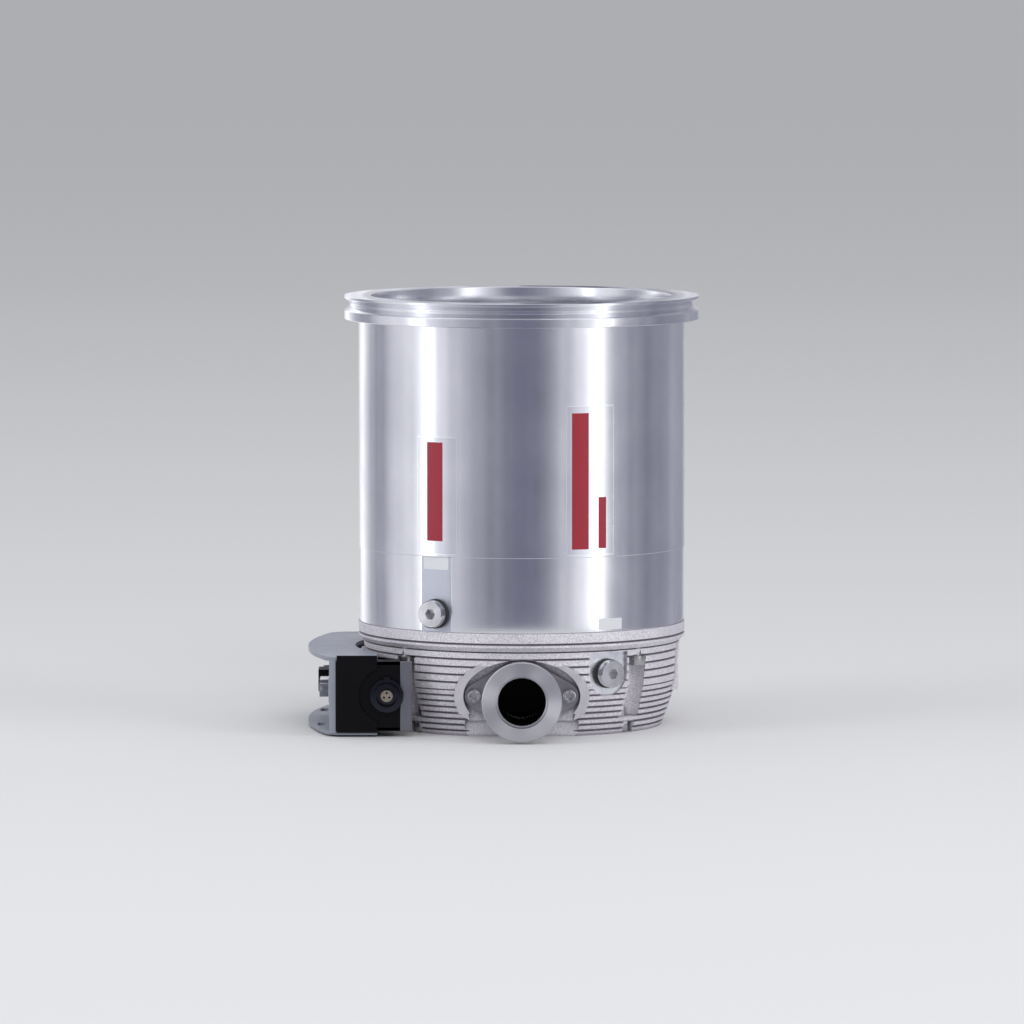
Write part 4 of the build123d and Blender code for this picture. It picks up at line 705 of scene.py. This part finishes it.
# ---------------------------------------------------------------------------------------------
# Foreline port: a flange and neck turned from stainless steel and welded to an oval plate, which
# two screws hold on the casting over a rubber seal.
# ---------------------------------------------------------------------------------------------
port_low, port_high = (Vector(corner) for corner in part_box("foreline_port"))
port_axis = Vector((0, 0, (port_low.z + port_high.z) / 2))
turned_steel = turned_metal(
    "turned_steel", (0.52, 0.52, 0.55), (0.62, 0.62, 0.65), 0.42, 0.93, "Y", port_axis,
)
plate_steel = plain_metal("plate_steel", (0.33, 0.32, 0.34), 0.36)
plate_front_y = port_high.y - 0.0054
bore_reach, neck_reach = 0.0175, 0.0145


def port_face(centre, normal):
    """Turned flange and neck, milled plate, and the bore's inner faces in dark steel as painted shade."""
    from_axis = Vector((centre.x - port_axis.x, 0, centre.z - port_axis.z))
    if from_axis.length < bore_reach and normal.dot(from_axis) < -0.2 * from_axis.length:
        return 2
    return 1 if centre.y > plate_front_y and from_axis.length > neck_reach else 0


# Dark steel on the bore's inner faces: painted shade inside the bore.
port_bore_painted_shade = plain_metal("port_bore_painted_shade", (0.14, 0.135, 0.14), 0.26)
finished_copy("foreline_port", (turned_steel, plate_steel, port_bore_painted_shade), port_face)
dress("foreline_seal", seal_rubber)

# ---------------------------------------------------------------------------------------------
# Screws: socket-head screws of stainless steel. Four hold the inlet housing from below through the
# flutes, four the bottom cover, two the foreline port and four the drive unit.
# ---------------------------------------------------------------------------------------------


def hexagon(turn, half_across=0.46):
    """The reach of the hexagon socket at a turn."""
    return half_across / cos((turn + pi / 6) % (pi / 3) - pi / 6)


def screw_head_loops(sides=36, socket_rim=0.96, socket_floor=0.45):
    """A head of radius 1 and height 1 above Z 0, with an eased rim and a hexagon socket."""
    rims = [(0.94, 0.0), (1.0, 0.05), (1.0, 0.86), (0.96, 0.95), (0.86, 1.0), (0.56, 1.0)]
    turns = [2 * pi * side / sides for side in range(sides)]
    loops = [[(r * cos(turn), r * sin(turn), z) for turn in turns] for r, z in rims]
    for z in (socket_rim, socket_floor):
        loops.append([(hexagon(turn) * cos(turn), hexagon(turn) * sin(turn), z) for turn in turns])
    return loops


screws, size, way_out = start_tree(
    "screws", [("Head", "Object"), ("Head Radius", "Float"), ("Head Height", "Float"),
               ("Shank Radius", "Float"), ("Shank Length", "Float"), ("Finish", "Material")]
)
head_spans = {0: size["Head Radius"], 1: size["Head Radius"], 2: size["Head Height"]}
head_size = add_step(screws, "ShaderNodeCombineXYZ", head_spans)
unit_head = add_step(screws, "GeometryNodeObjectInfo", {"Object": size["Head"]})
head = add_step(screws, "GeometryNodeTransform", {"Geometry": unit_head["Geometry"], "Scale": head_size[0]})
rod = {"Vertices": 28, "Radius": size["Shank Radius"], "Depth": size["Shank Length"]}
shank = add_step(screws, "GeometryNodeMeshCylinder", rod)
half_down = arithmetic(screws, "MULTIPLY", size["Shank Length"], -0.5)
drop = add_step(screws, "ShaderNodeCombineXYZ", {2: half_down})
hung = add_step(screws, "GeometryNodeTransform", {"Geometry": shank[0], "Translation": drop[0]})
screw = add_step(screws, "GeometryNodeJoinGeometry")
for part in (head[0], hung[0]):
    screws.links.new(part, screw[0].node.inputs[0])
aimed = add_step(screws, "GeometryNodeInputNamedAttribute", {"Name": "aim"}, data_type="FLOAT_VECTOR")[0]
turned_to = add_step(screws, "FunctionNodeAlignRotationToVector", {"Vector": aimed}, axis="Z")
at_seats = {"Points": size["Geometry"], "Instance": screw[0], "Rotation": turned_to[0]}
set_in = add_step(screws, "GeometryNodeInstanceOnPoints", at_seats)
finish_tree(screws, set_in[0], size["Finish"], way_out)

screw_head = piece_of("screw_head", loft(screw_head_loops()))
screw_steel = plain_metal("screw_steel", (0.46, 0.46, 0.47), 0.26)


def drive_in(node, seats, kind, shank_length):
    """Sets screws on their seats; each seat is a place and the direction that its head faces."""
    points = bpy.data.meshes.new(node + "_seats")
    points.from_pydata([place for place, _ in seats], [], [])
    aims = points.attributes.new("aim", "FLOAT_VECTOR", "POINT")
    for index, (_, aim_at) in enumerate(seats):
        aims.data[index].vector = aim_at
    head_radius, head_height, shank_radius = kind
    piece = made_by(screws, node + "_set", {
        "Head": screw_head, "Head Radius": head_radius, "Head Height": head_height,
        "Shank Radius": shank_radius, "Shank Length": shank_length, "Finish": screw_steel,
    }, points)
    stands_for(piece, node)


def seats_below(azimuths, circle_r, seat_z):
    """Places on a circle whose screws are driven from below."""
    return [(direction(turn) * circle_r + Vector((0, 0, seat_z)), (0, 0, -1)) for turn in azimuths]


# head radius, head height and shank radius of a 5 mm and a 4 mm screw
five_mm, four_mm = (0.00425, 0.005, 0.0025), (0.0034, 0.004, 0.002)
housing_shank, cover_shank, port_shank = 0.022, 0.008, 0.010
housing_circle_r, cover_circle_r, port_screw_x = 0.0776, 0.0675, 0.0238
corners = [radians(turn) for turn in (48.0, 132.0, -48.0, -132.0)]
housing_seat_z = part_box("housing_screws")[0][2] + five_mm[1]
housing_seats = seats_below(corners, housing_circle_r, housing_seat_z)
drive_in("housing_screws", housing_seats, five_mm, housing_shank)
cover_seat_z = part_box("cover_screws")[0][2] + four_mm[1]
drive_in("cover_screws", seats_below(corners, cover_circle_r, cover_seat_z), four_mm, cover_shank)
port_screw_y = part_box("foreline_screws")[0][1] + four_mm[1]
port_seats = [((x, port_screw_y, port_axis.z), (0, -1, 0)) for x in (-port_screw_x, port_screw_x)]
drive_in("foreline_screws", port_seats, four_mm, port_shank)
bpy.data.objects.remove(screw_head)
dress("drive_screws", screw_steel)

# ---------------------------------------------------------------------------------------------
# Rotor: milled from one block of aluminium, six rows of slanted blades on a hub that widens from
# the inlet down, with a solid plate under them that carries the drag drum.
# ---------------------------------------------------------------------------------------------
blade_tip_r = 0.0726
blade_thickness = 0.0015
root_sunk, tip_spare = 0.0015, 0.004
row_gap = 0.0008
# height of the row, blades, slant in degrees, hub radius, height of the standing row under it
rotor_rows = [
    (0.009, 18, 42, 0.032, 0.005), (0.008, 18, 40, 0.032, 0.0045), (0.007, 20, 36, 0.036, 0.004),
    (0.006, 24, 32, 0.042, 0.0035), (0.005, 28, 28, 0.047, 0.0035), (0.005, 28, 26, 0.050, 0),
]
rotor_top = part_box("rotor")[1][2]
rotor_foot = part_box("rotor")[0][2]

blade_row, size, way_out = start_tree(
    "blade_row", [("Blades", "Int"), ("Root Radius", "Float"), ("Tip Radius", "Float"),
                  ("Top", "Float"), ("Row Height", "Float"), ("Slant", "Float"),
                  ("Thickness", "Float"), ("First Turn", "Float"), ("Finish", "Material")]
)
reach = arithmetic(blade_row, "SUBTRACT", size["Tip Radius"], size["Root Radius"])
long_reach = arithmetic(blade_row, "ADD", reach, tip_spare)
sine = arithmetic(blade_row, "SINE", size["Slant"])
cosine = arithmetic(blade_row, "COSINE", size["Slant"])
wide = arithmetic(blade_row, "DIVIDE", size["Thickness"], sine)
blade_spans = {0: long_reach, 1: wide, 2: size["Row Height"]}
blade_size = add_step(blade_row, "ShaderNodeCombineXYZ", blade_spans)
grid = {"Size": blade_size[0], "Vertices X": 6, "Vertices Y": 2, "Vertices Z": 5}
blank = add_step(blade_row, "GeometryNodeMeshCube", grid)
# the blank leans over its height, so that its top and foot stay level
point = add_step(blade_row, "GeometryNodeInputPosition")[0]
high = add_step(blade_row, "ShaderNodeSeparateXYZ", {0: point})[2]
slope = arithmetic(blade_row, "DIVIDE", cosine, sine)
sideways = arithmetic(blade_row, "MULTIPLY", high, slope)
lean = add_step(blade_row, "ShaderNodeCombineXYZ", {1: sideways})
leaned = add_step(blade_row, "GeometryNodeSetPosition", {"Geometry": blank[0], "Offset": lean[0]})
half_reach = arithmetic(blade_row, "MULTIPLY", long_reach, 0.5)
out = arithmetic(blade_row, "ADD", size["Root Radius"], half_reach)
half_height = arithmetic(blade_row, "MULTIPLY", size["Row Height"], 0.5)
level = arithmetic(blade_row, "SUBTRACT", size["Top"], half_height)
place = add_step(blade_row, "ShaderNodeCombineXYZ", {0: out, 2: level})
blade = add_step(blade_row, "GeometryNodeTransform", {"Geometry": leaned[0], "Translation": place[0]})
spots = add_step(blade_row, "GeometryNodePoints", {"Count": size["Blades"]})
part_turn = arithmetic(blade_row, "DIVIDE", 2 * pi, size["Blades"])
number = add_step(blade_row, "GeometryNodeInputIndex")[0]
turn = arithmetic(blade_row, "MULTIPLY", number, part_turn)
turn = arithmetic(blade_row, "ADD", turn, size["First Turn"])
spin = add_step(blade_row, "ShaderNodeCombineXYZ", {2: turn})
spin = add_step(blade_row, "FunctionNodeEulerToRotation", {0: spin[0]})
at_spots = {"Points": spots[0], "Instance": blade[0], "Rotation": spin[0]}
ring = add_step(blade_row, "GeometryNodeInstanceOnPoints", at_spots)
loose = add_step(blade_row, "GeometryNodeRealizeInstances", {0: ring[0]})
# tips turned to one radius
point = add_step(blade_row, "GeometryNodeInputPosition")[0]
flat_point = arrows(blade_row, "MULTIPLY", point, (1, 1, 0))["Vector"]
from_axis = arrows(blade_row, "LENGTH", flat_point)["Value"]
past_tip = arithmetic(blade_row, "SUBTRACT", from_axis, size["Tip Radius"])
too_far = arithmetic(blade_row, "MAXIMUM", past_tip, 0.0)
pull = arrows(blade_row, "SCALE", arrows(blade_row, "NORMALIZE", flat_point)["Vector"])
blade_row.links.new(arithmetic(blade_row, "MULTIPLY", too_far, -1.0), pull["Vector"].node.inputs["Scale"])
trimmed = add_step(blade_row, "GeometryNodeSetPosition", {"Geometry": loose[0], "Offset": pull["Vector"]})
finish_tree(blade_row, trimmed[0], size["Finish"], way_out)

milled_aluminium = plain_metal("milled_aluminium", (0.70, 0.71, 0.73), 0.28)
hub_side = []
row_top = rotor_top
row_parts = []
for number, (row_height, blades, slant_angle, hub_r, standing) in enumerate(rotor_rows):
    next_hub = rotor_rows[min(number + 1, len(rotor_rows) - 1)][3]
    row_floor = row_top - row_height
    hub_side += [((hub_r, row_top), 0), ((next_hub, row_floor), 0)]
    row_parts.append(made_by(blade_row, f"rotor_row_{number + 1}", {
        "Blades": blades, "Root Radius": hub_r - root_sunk, "Tip Radius": blade_tip_r, "Top": row_top,
        "Row Height": row_height, "Slant": radians(slant_angle), "Thickness": blade_thickness,
        "First Turn": radians(5 * number), "Finish": milled_aluminium,
    }))
    row_top = row_floor - standing - 2 * row_gap
bell_r = 0.05945
bell_foot = rotor_foot + 0.008
magnet_recess_r = 0.0199
recess_floor = rotor_top - 0.029
stub_r = 0.0037
shaft_seat_r = 0.009
shaft_step = recess_floor - 0.004
hub_profile = eased_profile(
    [((shaft_seat_r, rotor_foot), 0), ((0.014, rotor_foot), 0.0005), ((0.022, bell_foot), 0.001),
     ((bell_r, bell_foot), 0.0005), ((bell_r, row_floor), 0.0005)]
    + hub_side[::-1]
    + [((magnet_recess_r, rotor_top), 0.0004), ((magnet_recess_r, recess_floor), 0),
       ((stub_r, recess_floor), 0), ((stub_r, shaft_step), 0), ((shaft_seat_r, shaft_step), 0)]
)
rotor_hub = made_by(lathe, "rotor_hub", {
    "Segments": 240, "Flat Direction": (0, 0, 0), "Flat Distance": 1.0, "Flat Top": -1.0,
    "Finish": milled_aluminium,
}, outline_mesh("hub_profile", hub_profile))


def joined(name, parts):
    """Several plain meshes as one piece."""
    bm = bmesh.new()
    for part in parts:
        bm.from_mesh(part.data)
    finish = parts[0].data.materials[0]
    for part in parts:
        bpy.data.objects.remove(part)
    return piece_of(name, bm, finish)


rotor = joined("rotor_finished", [rotor_hub, *row_parts])
stands_for(rotor, "rotor", "rotor_group")

# ---------------------------------------------------------------------------------------------
# Inside: bearing star with its cap and retaining ring, standing blade rows, spacers, drag stage,
# motor and bearings, milled, turned and ground.
# ---------------------------------------------------------------------------------------------
for node in ("bearing_star", "star_cap"):
    finished_copy(node, (milled_aluminium,))
ground_steel = plain_metal("ground_steel", (0.58, 0.58, 0.60), 0.18)
finished_copy("snap_ring", (ground_steel,))
for number in range(1, len(rotor_rows)):
    dress(f"stator_disc_{number}", milled_aluminium)
for node in (
    "spacer_rings", "outer_drag_stator", "inner_drag_stator", "motor_housing", "bearing_bush",
    "bottom_cover",
):
    dress(node, milled_aluminium)
for node in (
    "shaft", "bearing_outer_ring", "bearing_inner_ring", "touchdown_bearing", "shaft_nut",
    "spring_washer",
):
    dress(node, ground_steel)
magnet_alloy = plain_metal("magnet_alloy", (0.30, 0.30, 0.32), 0.35)
for node in ("stator_magnets", "rotor_magnets", "motor_magnet", "motor_core"):
    dress(node, magnet_alloy)
dress("motor_windings", plain_metal("enamelled_copper", (0.52, 0.22, 0.10), 0.35))
dress("bearing_damper", seal_rubber)
dress("drag_drum", plain_solid("carbon_fibre", (0.03, 0.03, 0.035), 0.35))
dress("bearing_cage", plain_solid("phenolic", (0.35, 0.20, 0.09), 0.5))
dress("bearing_balls", plain_solid("ceramic", (0.05, 0.05, 0.055), 0.12))

# ---------------------------------------------------------------------------------------------
# Vent and purge plugs: turned and nickel-plated, with a hexagon socket for the key. Each is
# screwed down on a black rubber sealing ring.
# ---------------------------------------------------------------------------------------------
nickel = plain_metal("nickel_plate", (0.66, 0.66, 0.67), 0.16, lines=(0.3, 0.3, 1))
finished_copy("vent_screw", (nickel,), body="vent_plug")
finished_copy("purge_screw", (nickel,), body="purge_plug")
finished_copy("vent_seal", (seal_rubber,), body="vent_ring")
finished_copy("purge_seal", (seal_rubber,), body="purge_ring")

# ---------------------------------------------------------------------------------------------
# Drive unit: bracket of light grey textured paint with two bulged plates and the connector panel,
# a satin black case behind a black front cover, end strips of bare sheet, and its connectors.
# ---------------------------------------------------------------------------------------------
cover_end_x = -0.0724
case_end_x = -0.0609
strip_end_x = -0.0550
drive_side_y, lid_side_y = 0.0710, 0.060
plate_low, plate_high = 0.003, 0.038
sheet = 0.002
# what is cut off the bracket at both of its ends
cut_end_x, cut_near_y, cut_far_y, cut_low, cut_high = -0.0510, 0.040, 0.080, -0.01, 0.06


def block(name, low, high, *finishes, ease=0.0003):
    """A block between two corners, with eased edges."""
    bm = bmesh.new()
    bmesh.ops.create_cube(bm, size=1.0)
    low, high = Vector(low), Vector(high)
    for vert in bm.verts:
        vert.co = Vector((low[i] + (vert.co[i] + 0.5) * (high[i] - low[i]) for i in range(3)))
    if ease:
        bmesh.ops.bevel(bm, geom=bm.edges, offset=ease, segments=2, affect="EDGES", profile=0.5)
    bmesh.ops.recalc_face_normals(bm, faces=bm.faces)
    return piece_of(name, bm, *finishes)


grey_paint = plain_solid("grey_paint", (0.27, 0.29, 0.35), 0.45, 0.0006, 0.00008, 0.93)
satin_black = plain_solid("satin_black", (0.0022, 0.0022, 0.0035), 0.45, unevenness=0.9)
satin_black.node_tree.nodes["Principled BSDF"].inputs["Specular IOR Level"].default_value = 0.12
bare_sheet = plain_metal("bare_sheet", (0.22, 0.22, 0.25), 0.40)
ends = []
for side in (-1, 1):
    near, far = sorted((side * cut_near_y, side * cut_far_y))
    ends.append(block(f"end_{side}", (cover_end_x, near, cut_low), (cut_end_x, far, cut_high), ease=0))
finished_copy("drive_bracket", (grey_paint,), cut=ends)
for side, name in ((-1, "front"), (1, "rear")):
    near, far = sorted((side * drive_side_y, side * (drive_side_y - sheet)))
    strip = block(
        f"end_strip_{name}", (case_end_x, near, plate_low), (strip_end_x, far, plate_high), bare_sheet,
    )
    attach(strip, "pump_case")
    near, far = sorted((side * drive_side_y, side * lid_side_y))
    for place, low in (("foot", plate_low), ("head", plate_high - sheet)):
        lid = block(
            f"case_{place}_{name}", (cover_end_x - sheet, near, low), (case_end_x, far, low + sheet),
            satin_black,
        )
        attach(lid, "pump_case")
finished_copy("drive_case", (satin_black,))

cover_x, cover_thickness = -0.0927, 0.0015
cover_low, cover_high = 0.0022, 0.0410
socket_low, socket_high = (Vector(corner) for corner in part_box("drive_socket"))
socket_axis = Vector(((socket_low.x + socket_high.x) / 2, 0, 0.021))
bite_r = 0.0139


def front_cover(arc_steps=28, ease=0.0003):
    """The cover: a plate with an arc bitten out of its end, round the socket."""
    half_bite = (bite_r**2 - (cover_end_x - socket_axis.x) ** 2) ** 0.5
    outline = [(cover_x, cover_low), (cover_end_x, cover_low)]
    bite_angle = atan2(half_bite, socket_axis.x - cover_end_x)
    for step in range(arc_steps + 1):
        swing = bite_angle - 2 * bite_angle * step / arc_steps
        outline.append((socket_axis.x - bite_r * cos(swing), socket_axis.z - bite_r * sin(swing)))
    outline += [(cover_end_x, cover_high), (cover_x, cover_high)]
    front_y = -drive_side_y - cover_thickness
    bm = loft([(x, y, z) for x, z in outline] for y in (-drive_side_y, front_y))
    rim = [edge for edge in bm.edges if all(abs(vert.co.y - front_y) < 1e-6 for vert in edge.verts)]
    bmesh.ops.bevel(bm, geom=rim, offset=ease, segments=2, affect="EDGES", profile=0.5)
    return piece_of("front_cover_finished", bm, satin_black)


cover = front_cover()
stands_for(cover, "front_cover")
black_chrome = plain_metal("black_chrome", (0.032, 0.032, 0.042), 0.12)
finished_copy("drive_socket", (black_chrome,))
finished_copy("socket_insert", (plain_solid("insulator", (0.36, 0.31, 0.26), 0.5),))
for node in ("signal_connector", "jack_screws", "service_connector"):
    finished_copy(node, (nickel,))
finished_copy("power_connector", (satin_black,))
dress("motor_feedthrough", screw_steel)
dress("circuit_board", plain_solid("circuit_laminate", (0.02, 0.12, 0.05), 0.35))
dress("board_parts", plain_solid("moulded_black", (0.03, 0.03, 0.033), 0.4))
